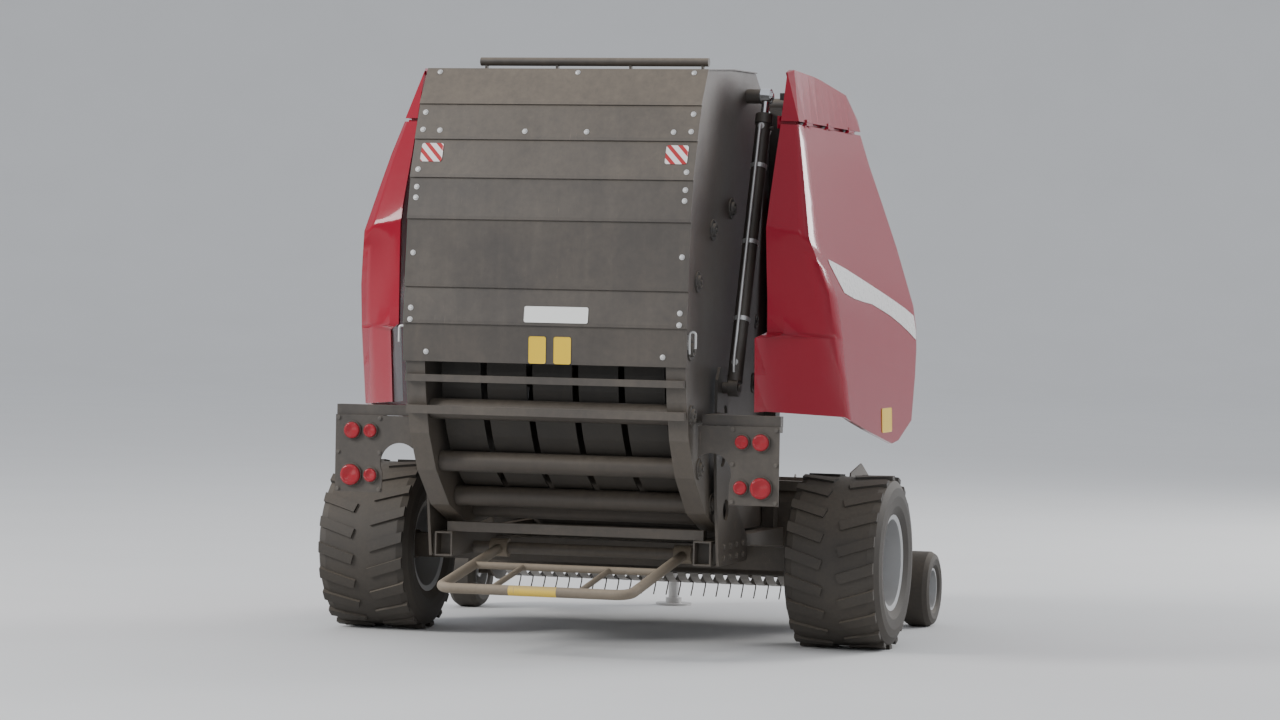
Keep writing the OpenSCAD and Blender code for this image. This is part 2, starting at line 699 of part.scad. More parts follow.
// Fixed caps over the doors
cap_cols = 10;
function cap_top(t) = lookup(t, [[0, 2867], [0.35, 2848], [0.8, 2788], [1, 2668]]);
cap_move = [0, door_hy - drawn_hy, door_hz - drawn_hz];
function cap_low(t) = cap_move + [-416 + 1272 * t, 1024 + 6 * t, 2609];
function cap_up(t) = cap_move + [-299 + 1155 * t, 965 + 50 * t, cap_top(t)];
cap_out = [
    [
        cap_move + [-360, 938, 2850],
        for (k = [0 : cap_cols]) cap_up(k / cap_cols) + [0, -28, 0],
        cap_move + [846, 950, 2664]
    ],
    [
        cap_move + [-360, 946, 2852],
        for (k = [0 : cap_cols]) cap_up(k / cap_cols),
        cap_move + [848, 952, 2664]
    ],
    [
        cap_move + [-458, 944, 2609],
        for (k = [0 : cap_cols]) cap_low(k / cap_cols),
        cap_move + [850, 952, 2609]
    ]
];
// Wall at both ends of the cap
function cap_end(k) = [k == 0 ? 16 : k == cap_cols ? -16 : 0, 0, 0];
cap_in = [
    [
        cap_move + [-340, 938, 2830],
        for (k = [0 : cap_cols]) cap_up(k / cap_cols) + cap_end(k) + [0, -28, -16],
        cap_move + [830, 950, 2650]
    ],
    [
        cap_move + [-340, 946, 2832],
        for (k = [0 : cap_cols]) cap_up(k / cap_cols) + cap_end(k) + [0, -16, -16],
        cap_move + [832, 952, 2650]
    ],
    [
        cap_move + [-438, 944, 2609],
        for (k = [0 : cap_cols]) cap_low(k / cap_cols) + cap_end(k) + [0, -16, 0],
        cap_move + [834, 952, 2609]
    ]
];
module cover_caps() color(red) put() both() {
    shell(cap_out, cap_in);
    // Seats on the top rails: x, reach past the rail, height over the rail's foot
    for (q = [[-330, 54, 4], [180, 64, 4], [741, 72, -52]])
        box([q[0], rail_y + rail_w + gap, rail_z + q[2]], [22, q[1] - gap, 24]);
    for (x = seam_x) {
        rod([x - 20, door_hy, door_hz], [x + 20, door_hy, door_hz], 7);
        rod([x - 60, door_hy, door_hz], [x + 60, door_hy, door_hz], 3);
        box([x - 20, door_hy - 22, door_hz + 2], [40, 18, 22]);
    }
}

// Gate side boxes with their hinge eyes and cross tubes
gate_side = concat(
    [for (p = gate_line) [p[0] + gate_t + 1, p[1] - gate_t - 1]],
    gate_low,
    gate_split
);
function toward(p, d) = let (
    v = [bale_x - p[0], bale_z + 130 - p[1]],
    n = sqrt(v[0] * v[0] + v[1] * v[1])
) [p[0] + v[0] / n * d, p[1] + v[1] / n * d];
gate_hollow = concat(
    [for (p = concat(gate_line, gate_low)) toward(p, 24)],
    [[200, 640], [260, 2450], [140, 2790]]
);
module tailgate_frame() color(dark) put() {
    both() {
        difference() {
            union() {
                difference() {
                    yplate(gate_side, wall_y, gate_y - 9 - wall_y);
                    yplate(gate_hollow, wall_y + skin, gate_y - 9 - wall_y - 2 * skin);
                }
                yplate([[0, 2440], [130, 2400], [330, 2540], [352, 2600], [330, 2650], [0, 2800]], 640, 16);
                ybar(hinge_x, hinge_z, 634, 668, 58);
                // Rib that ties the hinge ear to both skins
                box([40, wall_y + 1, 2420], [12, gate_y - 11 - wall_y, 340]);
            }
            ybar(hinge_x, hinge_z, 600, 700, 30 + run);
        }
        ybar(ram_tx, ram_tz, gate_y - 20, ram_y - 28, 36);
    }
    // Cross tubes: x, z, radius
    for (q = [[-90, 2790, 32], [-560, 2790, 28], [-900, 2755, 32], [-1148, 2240, 26], [-1192, 1700, 26]])
        ybar(q[0], q[1], gap - wall_y, wall_y - gap, q[2]);
}

// Lapped gate sheets
module tailgate_sheets() color(dark) put() {
    for (i = [0 : len(gate_line) - 2]) {
        a = gate_line[i];
        b = gate_line[i + 1];
        u = (b - a) / dist(a, b);
        v = [u[1], -u[0]];
        lap = i < 2 ? 0 : fold_d;
        yplate([
            a, b - u * fold_h + v * lap, b + v * lap, b - v * gate_t, a - v * gate_t
        ], -gate_y, 2 * gate_y);
    }
    // Guard tube over the top sheet
    ybar(-520, 2890, -590, 590, 21);
    for (y = [-560, -190, 190, 560]) box([-532, y - 6, 2853], [24, 12, 30]);
}

// Light cross bars under the sheets
module tailgate_bars() color(silver) put() {
    box([-1250, -700, 1306], [27.6, 1400, 34]);
    box([-1226, -700, 1150], [33.2, 1400, 40]);
}

module tailgate_rollers() color(silver) put() rollers([68, 95, 122, 149, 175, 199, 222, 245, 267], wall_y - 0.5);

module tailgate_belts() color(black) put() belts(55, 274);

// Large tyre: half section radius, distance from the middle plane
tyre_half = [
    [rim_r + gap, 207], [rim_r + 18 + gap, 213], [rim_r + 19, 223], [rim_r + 60, 240],
    [rim_r + 110, tyre_w / 2], [tyre_r - 60, 240],
    [tyre_r - lug_h - 12, 222], [tyre_r - lug_h, 190], [tyre_r - lug_h + 2, 0]
];
module tyre() rotate([90, 0, 0]) {
    rotate_extrude($fn = 96) polygon(concat(
        tyre_half,
        [for (i = [len(tyre_half) - 2 : -1 : 0]) [tyre_half[i][0], -tyre_half[i][1]]],
        [[rim_r + gap + 25, -150], [rim_r + gap + 25, 150]]
    ));
    for (s = [0, 1], i = [0 : lug_n - 1])
        rotate([0, 0, 360 * (i + s / 2) / lug_n]) mirror([0, 0, s]) intersection() {
            translate([tyre_r - 40, -26, 34]) rotate([18, 0, 0]) cube([60, 50, 200]);
            difference() {
                cylinder(h = 222, r = tyre_r, $fn = 96);
                translate([0, 0, -1]) cylinder(h = 230, r = tyre_r - lug_h - 8, $fn = 96);
            }
        }
}
module tyre_left() color(black) put() translate([0, wheel_y, tyre_r]) tyre();
module tyre_right() color(black) put() translate([0, -wheel_y, tyre_r]) mirror([0, 1, 0]) tyre();

// Rim with dished disc and hub, outer face towards +Y
module rim() difference() {
    rotate([-90, 0, 0]) rotate_extrude($fn = 96) polygon([
        [rim_r + 18, -222], [rim_r + 18, -214], [rim_r, -208], [rim_r, 208], [rim_r + 18, 214],
        [rim_r + 18, 222], [rim_r - 6, 216], [rim_r - 10, 90], [rim_r - 50, 60], [150, 46], [140, 40],
        [100, 40], [96, 110], [80, 122], [0, 122], [0, 84],
        [stub_r + run, 84], [stub_r + run, -70], [90, -70], [96, 24],
        [150, 30], [rim_r - 50, 44], [rim_r - 12, 70], [rim_r - 10, -216]
    ]);
    for (i = [0 : 7])
        rotate([0, 45 * i, 0]) translate([168, 0, 0]) rotate([-90, 0, 0]) cylinder(h = 120, r = 14, $fn = 24);
}
module rim_left() color(silver) put() translate([0, wheel_y, tyre_r]) rim();
module rim_right() color(silver) put() translate([0, -wheel_y, tyre_r]) mirror([0, 1, 0]) rim();

// Reel side plates, tube and pivot bores
module pickup_frame() color(steel) put() {
    difference() {
        union() {
            both() translate([0, pick_y + 8, 0]) rotate([90, 0, 0]) linear_extrude(height = 8) union() {
                translate([1395, 390]) circle(r = 228, $fn = 72);
                translate([rotor_x, rotor_z]) circle(r = 72, $fn = 48);
                polygon([[rotor_x, rotor_z + 72], [1395, 618], [1395, 300], [1080, 235], [rotor_x - 40, 560]]);
            }
            ybar(1100, 300, -pick_y - 2, pick_y + 2, 40);
            both() box([gauge_x - 30, pick_y + 7, gauge_r - 25], [60, 80, 50]);
            both() box([gauge_x - 30, pick_y + 2, gauge_r - 25], [60, 12, 190]);
            both() ybar(gauge_x, gauge_r, pick_y + 70, gauge_y - 60, 15);
            both() ybar(1135, 690, 1056, pick_y + 4, 10);
            both() box([1110, pick_y - 1, 640], [60, 9, 80]);
        }
        both() ybar(rotor_x, rotor_z, 1060, 1100, 40 + run);
        both() ybar(reel_x, reel_z, 1060, 1100, 20 + run);
    }
}

// Stripper bands between the tine rows
band_cx = reel_x - 35;
band_cz = reel_z + 40;
band_line = concat(
    [[1120, 262], [1120, 259]],
    [for (a = [222 : 12 : 450]) [band_cx + band_r * cos(a), band_cz + band_r * sin(a)]],
    [[1166, band_cz + band_r], [1166, band_cz + band_r - 3]],
    [for (a = [450 : -12 : 222]) [band_cx + (band_r - 3) * cos(a), band_cz + (band_r - 3) * sin(a)]]
);
module pickup_bands() color(silver) put() {
    for (i = [0 : band_n - 1])
        yplate(band_line, (i - (band_n - 1) / 2) * tine_pitch - band_w / 2, band_w);
    box([1164, -pick_y + gap, 555], [5, 2 * pick_y - 2 * gap, 60]);
}

// Tined reel
module pickup_reel() color(steel) put() translate([reel_x, 0, reel_z]) {
    ybar(0, 0, -1130, 1090, 20);
    ybar(0, 0, -1010, 1010, 45);
    for (y = [-1020, -350, 342, 1012]) ybar(0, 0, y, y + 8, 140);
    for (k = [0 : bar_n - 1]) rotate([0, 360 * k / bar_n + 20, 0]) {
        ybar(120, 0, -1016, 1016, 14);
        for (i = [0 : band_n - 2]) translate([120, (i - (band_n - 2) / 2) * tine_pitch, 0]) rotate([0, 90, 0]) {
            cylinder(h = 82, r = tine_r, $fn = 6);
            translate([0, 0, 80]) rotate([0, 15, 0]) cylinder(h = tine_tip - 198, r = tine_r, $fn = 6);
        }
    }
}

reel_a = [rotor_x, rotor_z];
reel_b = [reel_x, reel_z];
module pickup_chain() color(steel) put() chain(reel_a, reel_b, 75, 96, -1117);

// Gauge wheel, outer face towards +Y
module gauge_tyre() rotate([-90, 0, 0]) rotate_extrude($fn = 72) polygon([
    [112.3, -60], [130, -74], [160, -gauge_w / 2], [185, -72], [gauge_r, -48], [gauge_r, 48], [185, 72],
    [160, gauge_w / 2], [130, 74], [112.3, 60]
]);
module gauge_rim() rotate([-90, 0, 0]) rotate_extrude($fn = 72) polygon([
    [15 + run, -50], [35, -50], [35, -8], [100, -8], [100, -62], [112, -62], [112, 62], [100, 62],
    [100, 4], [35, 4], [35, 20], [15 + run, 20]
]);
gauge_c = gauge_y - gauge_w / 2;
module gauge_tyre_left() color(black) put() translate([gauge_x, gauge_c, gauge_r]) gauge_tyre();
module gauge_tyre_right() color(black) put() translate([gauge_x, -gauge_c, gauge_r]) mirror([0, 1, 0]) gauge_tyre();
module gauge_rim_left() color(silver) put() translate([gauge_x, gauge_c, gauge_r]) gauge_rim();
module gauge_rim_right() color(silver) put() translate([gauge_x, -gauge_c, gauge_r]) mirror([0, 1, 0]) gauge_rim();

// Crop guard over the reel
module windguard() color(steel) put() {
    difference() {
        both() yplate([[1110, 672], [1150, 672], [1640, 640], [1650, 680], [1150, 712], [1110, 708]], 1057, 8);
        both() ybar(1135, 690, 1040, 1080, 10 + run);
    }
    ybar(1622, 660, -1058, 1058, 42);
    ybar(1300, 684, -1058, 1058, 12);
    for (i = [-9 : 9]) rod([1180, i * 108, 700], [1610, i * 108, 664], 4, 6);
}

// Rotor with star plates
module star(x, z, y0, t, r, turn) {
    yplate([
        for (k = [0 : 3], q = [[0, 70], [14, r], [24, r], [46, 74]])
            [x + q[1] * cos(90 * k + q[0] + turn), z + q[1] * sin(90 * k + q[0] + turn)]
    ], y0, t);
}
module feed_rotor() color(steel) put() {
    ybar(rotor_x, rotor_z, -1130, 1130, 20);
    ybar(rotor_x, rotor_z, -1036, 1036, 60);
    for (i = [0 : star_n - 1]) {
        y = (i - (star_n - 1) / 2) * 84;
        star(rotor_x, rotor_z, y - 6, 12, rotor_r, abs(i - (star_n - 1) / 2) * 13);
    }
    sprocket(rotor_x, rotor_z, 1113, 8, 136, 34);
    sprocket(rotor_x, rotor_z, -1121, 8, 71, 34);
}

// Augers that feed the wide pickup into the chamber
auger_turns = 1.5;
auger_steps = 30;
auger_in = (60 + gap) / cos(180 * auger_turns / auger_steps);
function helix(r, k, off) = let (a = 360 * auger_turns * k / auger_steps)
    [r * cos(a), 636 + off + 380 * k / auger_steps, r * sin(a)];
module auger() translate([rotor_x, 0, rotor_z]) shell(
    [for (r = [rotor_r - 20, auger_in]) [for (k = [0 : auger_steps]) helix(r, k, 0)]],
    [for (r = [rotor_r - 20, auger_in]) [for (k = [0 : auger_steps]) helix(r, k, 6)]]
);
module feed_augers() color(steel) put() both() auger();

// Bale kicker
module bale_kicker() color(steel) put() translate([kick_px, 0, kick_pz]) rotate([0, kick_tilt, 0]) difference() {
    union() {
        both() {
            rod([0, kick_y, 0], [-kick_len + 70, kick_y, 0], kick_r);
            translate([-kick_len + 70, kick_y - 70, 0]) rotate([0, 0, 90]) rotate_extrude(angle = 90, $fn = 64)
                translate([70, 0]) circle(r = kick_r, $fn = 32);
            ybar(0, 0, kick_y - 45, kick_y + 45, 46);
        }
        ybar(-kick_len, 0, -kick_y + 70, kick_y - 70, kick_r);
        ybar(-kick_len * 0.45, 0, -kick_y, kick_y, 18);
        for (y = [-220, 220]) rod([-kick_len * 0.45, y, 0], [-kick_len, y, 0], 14);
    }
    both() ybar(0, 0, kick_y - 60, kick_y + 60, 30 + run);
}

// Tailgate ram: barrel from the lower pin, rod to the upper pin
module ram_barrel() translate([ram_bx, ram_y, ram_bz]) rotate([0, -ram_tilt, 0]) difference() {
    union() {
        ybar(0, 0, -25, 25, 42);
        rod([30, 0, 0], [ram_len - 110, 0, 0], barrel_r);
        rod([ram_len - 150, 0, 0], [ram_len - 100, 0, 0], barrel_r + 6);
        rod([ram_len - 170, 0, 0], [ram_len - 170, 52, 0], 10);
    }
    ybar(0, 0, -40, 40, ram_pin_r + run);
    rod([260, 0, 0], [ram_len + 50, 0, 0], rod_r + run);
}
// Rod with its eye and the pin that rides in it
module ram_rod() translate([ram_bx, ram_y, ram_bz]) rotate([0, -ram_tilt, 0]) {
    ybar(ram_len, 0, -25, 25, 38);
    rod([ram_len - 1100, 0, 0], [ram_len - 30, 0, 0], rod_r);
    ybar(ram_len, 0, 24, 30, ram_pin_r + 9);
    ybar(ram_len, 0, 29, 36, ram_pin_r);
}
module ram_barrel_left() color(steel) put() ram_barrel();
module ram_barrel_right() color(steel) put() mirror([0, 1, 0]) ram_barrel();
module ram_rod_left() color(silver) put() ram_rod();
module ram_rod_right() color(silver) put() mirror([0, 1, 0]) ram_rod();

main_frame();
rear_outriggers();
chamber_walls();
chamber_rollers();
front_belts();
top_frame();
drawbar();
rotor_housing();
wrap_housing();
wrap_lid();
net_roll();
gearbox();
drive_sprockets();
drive_chain();
pto_guard();
pto_shaft();
jack_tube();
jack_leg();
light_boards();
lamps();
cover_caps();
side_door_left();
side_door_right();
door_stripe_left();
door_stripe_right();
tailgate_frame();
tailgate_sheets();
tailgate_bars();
tailgate_rollers();
tailgate_belts();
tyre_left();
tyre_right();
rim_left();
rim_right();
pickup_frame();
pickup_bands();
pickup_reel();
pickup_chain();
gauge_tyre_left();
gauge_tyre_right();
gauge_rim_left();
gauge_rim_right();
windguard();
feed_rotor();
feed_augers();
bale_kicker();
ram_barrel_left();
ram_barrel_right();
ram_rod_left();
ram_rod_right();
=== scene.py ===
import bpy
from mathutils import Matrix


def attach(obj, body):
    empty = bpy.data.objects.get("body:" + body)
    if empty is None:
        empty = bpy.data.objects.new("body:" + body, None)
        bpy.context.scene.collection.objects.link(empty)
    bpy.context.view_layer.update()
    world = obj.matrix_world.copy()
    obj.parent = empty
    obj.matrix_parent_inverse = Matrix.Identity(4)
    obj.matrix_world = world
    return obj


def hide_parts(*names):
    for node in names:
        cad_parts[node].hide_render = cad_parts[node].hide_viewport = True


bl_info = {
    "name": "Round baler looks",
    "version": (1, 0, 0),
    "blender": (4, 5, 0),
    "location": "View3D > Sidebar > Baler",
    "description": "Finishes, fastenings and studio for a round baler",
    "category": "Object",
}

import math

import bmesh
import bpy
from mathutils import Matrix, Vector

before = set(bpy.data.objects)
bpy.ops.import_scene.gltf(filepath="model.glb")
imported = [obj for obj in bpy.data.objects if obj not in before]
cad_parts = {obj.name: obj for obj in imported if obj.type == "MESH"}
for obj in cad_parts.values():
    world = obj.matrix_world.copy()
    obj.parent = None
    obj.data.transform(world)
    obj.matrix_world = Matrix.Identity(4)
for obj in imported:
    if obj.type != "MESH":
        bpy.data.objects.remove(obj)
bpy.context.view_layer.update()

# Axle of the large wheels in the frame, metres
AXLE_X = -0.7725
AXLE_Z = 0.433
WHEEL_Y = 1.223

# Bolts on the gate sheets: height, reach from the middle
GATE_BOLTS = (
    (2.610, 0.677), (2.525, 0.677), (2.522, 0.590), (2.520, 0.156), (2.330, 0.676), (2.245, 0.676),
    (2.193, 0.676), (1.926, 0.676), (1.660, 0.676), (1.604, 0.676), (1.450, 0.595),
)
# Bolts under the top edge of the gate's upper sheet: height, places across
TOP_BOLTS_Z = 2.812
TOP_BOLTS = (-0.645, -0.06, 0.645)
# Distance between the red stripes of the gate's signs, measured level
SIGN_PITCH = 0.058
# Bare plates and signs on the gate: name, height, place across, width, height of the plate, finish, slot
GATE_PLATES = (
    ("gate_plate_white", 1.640, -0.062, 0.320, 0.078, "plate_white", "stripe_white"),
    ("gate_plate_yellow_left", 1.470, 0.031, 0.086, 0.130, "plate_yellow", "plate_yellow"),
    ("gate_plate_yellow_right", 1.470, -0.095, 0.086, 0.130, "plate_yellow", "plate_yellow"),
    ("gate_sign_left", 2.413, 0.617, 0.110, 0.096, "striped_sign", "stripe_white"),
    ("gate_sign_right", 2.413, -0.617, 0.110, 0.096, "striped_sign", "stripe_white"),
)
# Bare plate on the right door: width and height, place as x and height
DOOR_PLATE = (0.235, 0.125)
DOOR_PLATE_AT = (0.68, 1.12)
# Skins that take the place of frame pieces: node, name, body
SKINS = (
    ("door_stripe_left", "stripe_skin_left", "door_left"),
    ("door_stripe_right", "stripe_skin_right", "door_right"),
    ("side_door_left", "door_skin_left", "door_left"),
    ("side_door_right", "door_skin_right", "door_right"),
    ("cover_caps", "cap_skins", "chassis"),
)
# Edges of the door stripes as x from the axle and height: in the frame, and as the photo shows them
FRAME_STRIPE_TOP = (
    (-0.3554, 1.9362), (-0.2186, 1.9217), (0.1799, 1.8679), (0.7804, 1.7861), (1.3651, 1.7018),
)
FRAME_STRIPE_FOOT = (
    (-0.3428, 1.9125), (-0.1466, 1.7738), (0.0579, 1.7187), (0.2507, 1.6893), (0.6352, 1.6353),
    (1.0211, 1.5810), (1.3890, 1.5292),
)
STRIPE_TOP = (
    (-0.380, 1.938), (-0.068, 1.900), (0.378, 1.830), (0.843, 1.755), (1.179, 1.696), (1.384, 1.652),
)
STRIPE_FOOT = (
    (-0.343, 1.912), (-0.147, 1.773), (0.103, 1.737), (0.426, 1.719), (0.797, 1.665), (1.144, 1.595),
    (1.389, 1.529),
)
# Latch beside each lower corner of the gate: x, top, width and drop of its rod, radius of the rod
LATCH = (-1.215, 1.572, 0.030, 0.105, 0.006)
LATCH_GAP = 0.012
# Its plate: width, height, thickness; its bolts: x, outward, up and down from the plate's middle
LATCH_PLATE = (0.040, 0.070, 0.006)
LATCH_BOLTS = (0.011, 0.005, 0.022)
# Ring of the belt rollers: axis from the axle, radius, and their places round it in degrees
RING = (-0.400, 1.420, 0.7585)
GATE_ROLLERS = (95, 122, 149, 175, 199, 222, 245)
FRONT_ROLLERS = (-57, -33, -9, 15, 39)
BEARING_RADIUS = 0.052
# Lamps on each board: reach from the middle, height, radius of the lens, its depth
BOARD_FACE = -1.0565
LAMPS = (
    (1.040, 0.834, 0.051, 0.026), (1.036, 1.052, 0.040, 0.022),
    (0.938, 0.834, 0.033, 0.020), (0.942, 1.052, 0.033, 0.020),
)
# Steps of a lens as shares of its radius and depth; how far a bezel stands past it, its depth, its wall
LENS_PROFILE = (
    (1.0, 0.70), (0.96, 0.84), (0.86, 0.95), (0.70, 1.0), (0.67, 0.96), (0.36, 1.0), (0.33, 0.96),
)
BEZEL = (0.006, 0.012, 0.0055)
# Rear facet of the doors below its step: rows of inner edge and crease as x, reach, height
STEP_ROWS = (
    ((-0.829, 0.932, 1.546), (-0.429, 1.233, 1.546)),
    ((-0.811, 0.930, 1.3665), (-0.3595, 1.245, 1.353)),
    ((-0.793, 0.928, 1.187), (-0.290, 1.257, 1.160)),
)
STEP_DEPTH = (0.166, 0.018, 0.0)
# Columns from inner edge to crease, and how near to its expected place a corner is picked
STEP_COLUMNS = 4
STEP_NEAR = 0.034
# Seal behind the seam between caps and doors: x and reach of its corners, heights, thickness
SEAL_LINE = ((-0.440, 0.921), (-0.398, 0.996), (0.838, 1.001))
SEAL_HEIGHTS = (2.572, 2.634)
SEAL_THICK = 0.005
# Gate rams: foot and head of the axis, its reach from the middle
RAM_FOOT = Vector((-0.700, 0, 1.300))
RAM_HEAD = Vector((-0.200, 0, 2.740))
RAM_REACH = 0.8
RAM_ALONG = (RAM_HEAD - RAM_FOOT).normalized()
RAM_ACROSS = Vector((-RAM_ALONG.z, 0, RAM_ALONG.x))
# What sits on a barrel: place along the axis from its foot, distance from the axis
RAM_PIPE = ((1.354, 0.047), (1.354, 0.060), (1.300, 0.060), (0.120, 0.060), (0.070, 0.036))
RAM_CLAMPS = (0.35, 0.75, 1.15)
RAM_PORTS = ((0.120, 0.038), (1.354, 0.038))
RAM_PIPE_RADIUS = 0.008
# Clamp of the pipe: radius, width, wall
CLAMP = (0.0415, 0.022, 0.0036)
# Large wheels: circle of the nuts, seats of the nuts and of the hub cap from the rim's middle
NUTS = 8
NUT_CIRCLE = 0.122
NUT_SEAT = 0.040
CAP_SEAT = 0.122
CAP_PROFILE = ((0.062, 0.005), (0.060, 0.016), (0.054, 0.025), (0.043, 0.031), (0.024, 0.034))
# Bolts: corner radius of each kind; their rows as x or place across, and height
BOLT_RADII = (("small", 0.0065), ("frame", 0.0135), ("light", 0.0095))
OUTRIGGER_BOLTS = ((-0.64, -0.52, -0.40, -0.28), (0.465, 0.520))
HITCH_BOLTS = ((2.43, 2.49), (0.675, 0.770))
GEARBOX_BOLTS = ((-0.115, 0.115), (0.985, 1.195))
FLANGE_BOLTS = ((-0.360, -0.470, 0.360, 0.470), (1.225, 1.355))
BOARD_BOLTS = ((-0.895, -1.110, 0.895, 1.110), (0.765, 0.945, 1.112))
# Band round the kicker's rear tube: radius, length, wall, x and height of its middle
BAND = (0.0251, 0.24, 0.0003, -1.335, 0.320)
# Places outside the machine from which rays look for a face
BEHIND = -3.0
AHEAD = 3.5
BESIDE = 2.0
FORWARD, BACK = (1, 0, 0), (-1, 0, 0)
SIDES = (("left", 1), ("right", -1))
# Angles up to which edges are shaded smooth, in radians: plain pieces, round ones, covers, the floor
SMOOTH, SMOOTH_ROUND, SMOOTH_COVER, SMOOTH_FLOOR = 0.6, 0.9, 0.42, 1.2
# Radius of a pipe's bends in its own radii
BEND = 2.6

# Studio floor: radius of its flat part, radius of its raised rim
FLOOR_REACH = 48.0
FLOOR_SWEEP = 16.0
PAPER_TONES = ((0.66, 0.655, 0.64, 1), (0.70, 0.695, 0.68, 1))
AIR_COLOUR = (0.88, 0.92, 1.0, 1)
AIR_STRENGTH = 0.85
# Soft boxes: name, place, aim, size, watts
SOFT_BOXES = (
    ("key", (-10.0, 12.0, 9.0), (-0.6, 0.0, 1.3), 6.0, 2200.0),
    ("gloss", (11.0, -9.0, 7.0), (0.0, -0.6, 1.6), 7.0, 1500.0),
    ("fill", (-13.0, -9.0, 7.0), (-0.6, 0.0, 1.2), 8.0, 160.0),
)
# Camera as fitted to the photo: place, aim, roll in degrees
EYE = Vector((-20.3755, -5.93, 1.79))
AIM = Vector((-1.6846, -0.3831, 1.4283))
ROLL = -1.15

# Painted, plated and moulded finishes: name, colour or the setting that holds it, roughness when clean,
# dust, chips, and what differs from plain paint
PRIMER = (0.20, 0.15, 0.12, 1)
PLATE_GRAIN = (500.0, 0.02, 0.05)
PAINTS = (
    ("gate_paint", "sheet_colour", 0.36, 0.80, 0.30, {"grain": (350.0, 0.05, 0.30)}),
    ("chassis_paint", "frame_colour", 0.40, 0.66, 0.8, {}),
    ("kicker_paint", (0.115, 0.095, 0.070, 1), 0.45, 0.95, 0.9, {"metallic": 0.3}),
    ("cover_gloss", "cover_colour", 0.22, 0.07, 0.0,
     {"coat": 0.45, "grain": (700.0, 0.008, 0.10), "gloss": 0.10}),
    ("stripe_gloss", "stripe_colour", 0.25, 0.30, 0.0, {"coat": 0.5, "grain": (700.0, 0.008, 0.05)}),
    ("zinc_plate", (0.62, 0.62, 0.61, 1), 0.38, 0.35, 0.12,
     {"metallic": 0.75, "metal": (0.22, 0.13, 0.08, 1)}),
    # Painted shade: the rollers' steel is painted near black, for the shade that falls on them between the
    # sheets of the gate and the chamber
    ("roller_steel", (0.050, 0.045, 0.042, 1), 0.40, 0.50, 0.5,
     {"metallic": 0.6, "metal": (0.05, 0.03, 0.02, 1)}),
    ("worn_band", (0.40, 0.39, 0.38, 1), 0.30, 0.6, 0.9, {"metallic": 0.9, "metal": (0.19, 0.09, 0.05, 1)}),
    ("hard_chrome", (0.66, 0.67, 0.68, 1), 0.08, 0.10, 0.0, {"metallic": 1.0, "grain": (900.0, 0.004, 0.0)}),
    ("oiled_steel", (0.13, 0.115, 0.10, 1), 0.33, 0.55, 0.5,
     {"metallic": 0.8, "metal": (0.12, 0.06, 0.035, 1)}),
    ("cast_iron", (0.030, 0.031, 0.033, 1), 0.48, 0.8, 0.5, {"grain": (160.0, 0.35, 0.2)}),
    ("rim_silver", (0.42, 0.43, 0.44, 1), 0.34, 0.40, 0.3, {"metallic": 0.45}),
    ("guard_plastic", (0.018, 0.018, 0.019, 1), 0.42, 0.6, 0.0, {"grain": (260.0, 0.12, 0.1)}),
    ("plate_white", (0.80, 0.80, 0.77, 1), 0.35, 0.25, 0.1, {"grain": PLATE_GRAIN}),
    ("plate_yellow", "plate_yellow", 0.35, 0.30, 0.1, {"grain": PLATE_GRAIN}),
    ("band_yellow", "plate_yellow", 0.45, 0.95, 0.9, {"grain": PLATE_GRAIN}),
)
# Dust: the film everywhere, what clouds, upward faces, nearness to the ground and streaks add to it,
# and the heights between which it thickens
DUST_BASE = 0.14
DUST_CLOUD, DUST_UPWARD, DUST_LOW, DUST_STREAK = 0.16, 0.70, 0.34, 0.07
DUST_HEIGHTS = (1.7, 0.15)
NET_COLOURS = ((0.42, 0.43, 0.41, 1), (0.80, 0.81, 0.78, 1))
SIGN_COLOURS = ((0.76, 0.74, 0.72, 1), (0.42, 0.012, 0.018, 1))
LENS_RED = (0.32, 0.002, 0.014, 1)


class BalerLooks(bpy.types.PropertyGroup):
    """Sizes and colours that a user would change."""

    cover_colour: bpy.props.FloatVectorProperty(
        name="Cover red", description="Paint of the doors and caps", subtype="COLOR", size=4,
        default=(0.285, 0.0015, 0.018, 1.0), min=0.0, max=1.0)
    stripe_colour: bpy.props.FloatVectorProperty(
        name="Stripe white", description="Curved stripe on the doors", subtype="COLOR", size=4,
        default=(0.80, 0.79, 0.77, 1.0), min=0.0, max=1.0)
    sheet_colour: bpy.props.FloatVectorProperty(
        name="Gate black", description="Paint of the gate sheets", subtype="COLOR", size=4,
        default=(0.034, 0.031, 0.030, 1.0), min=0.0, max=1.0)
    frame_colour: bpy.props.FloatVectorProperty(
        name="Frame grey", description="Paint of the chassis", subtype="COLOR", size=4,
        default=(0.020, 0.019, 0.020, 1.0), min=0.0, max=1.0)
    dust_colour: bpy.props.FloatVectorProperty(
        name="Field dust", description="Dry dust on every piece", subtype="COLOR", size=4,
        default=(0.36, 0.29, 0.21, 1.0), min=0.0, max=1.0)
    plate_yellow: bpy.props.FloatVectorProperty(
        name="Plate yellow", description="Bare yellow plates and the band on the kicker", subtype="COLOR",
        size=4, default=(0.78, 0.52, 0.02, 1.0), min=0.0, max=1.0)
    dust_amount: bpy.props.FloatProperty(
        name="Dust", description="How dusty the machine is", default=0.55, min=0.0, max=1.0, subtype="FACTOR")
    bolt_radius: bpy.props.FloatProperty(
        name="Bolt radius", description="Washer radius of the gate bolts", default=0.0135, min=0.006,
        max=0.03, unit="LENGTH")
    nut_radius: bpy.props.FloatProperty(
        name="Nut radius", description="Corner radius of the wheel nuts", default=0.0165, min=0.01, max=0.03,
        unit="LENGTH")
    lens: bpy.props.FloatProperty(
        name="Lens", description="Focal length of the camera in millimetres", default=113.4, min=20.0,
        max=300.0)
    light: bpy.props.FloatProperty(
        name="Light", description="Share of the studio lights' power", default=1.0, min=0.0, max=4.0,
        subtype="FACTOR")


def looks():
    return bpy.context.scene.baler_looks


# Modelling helpers

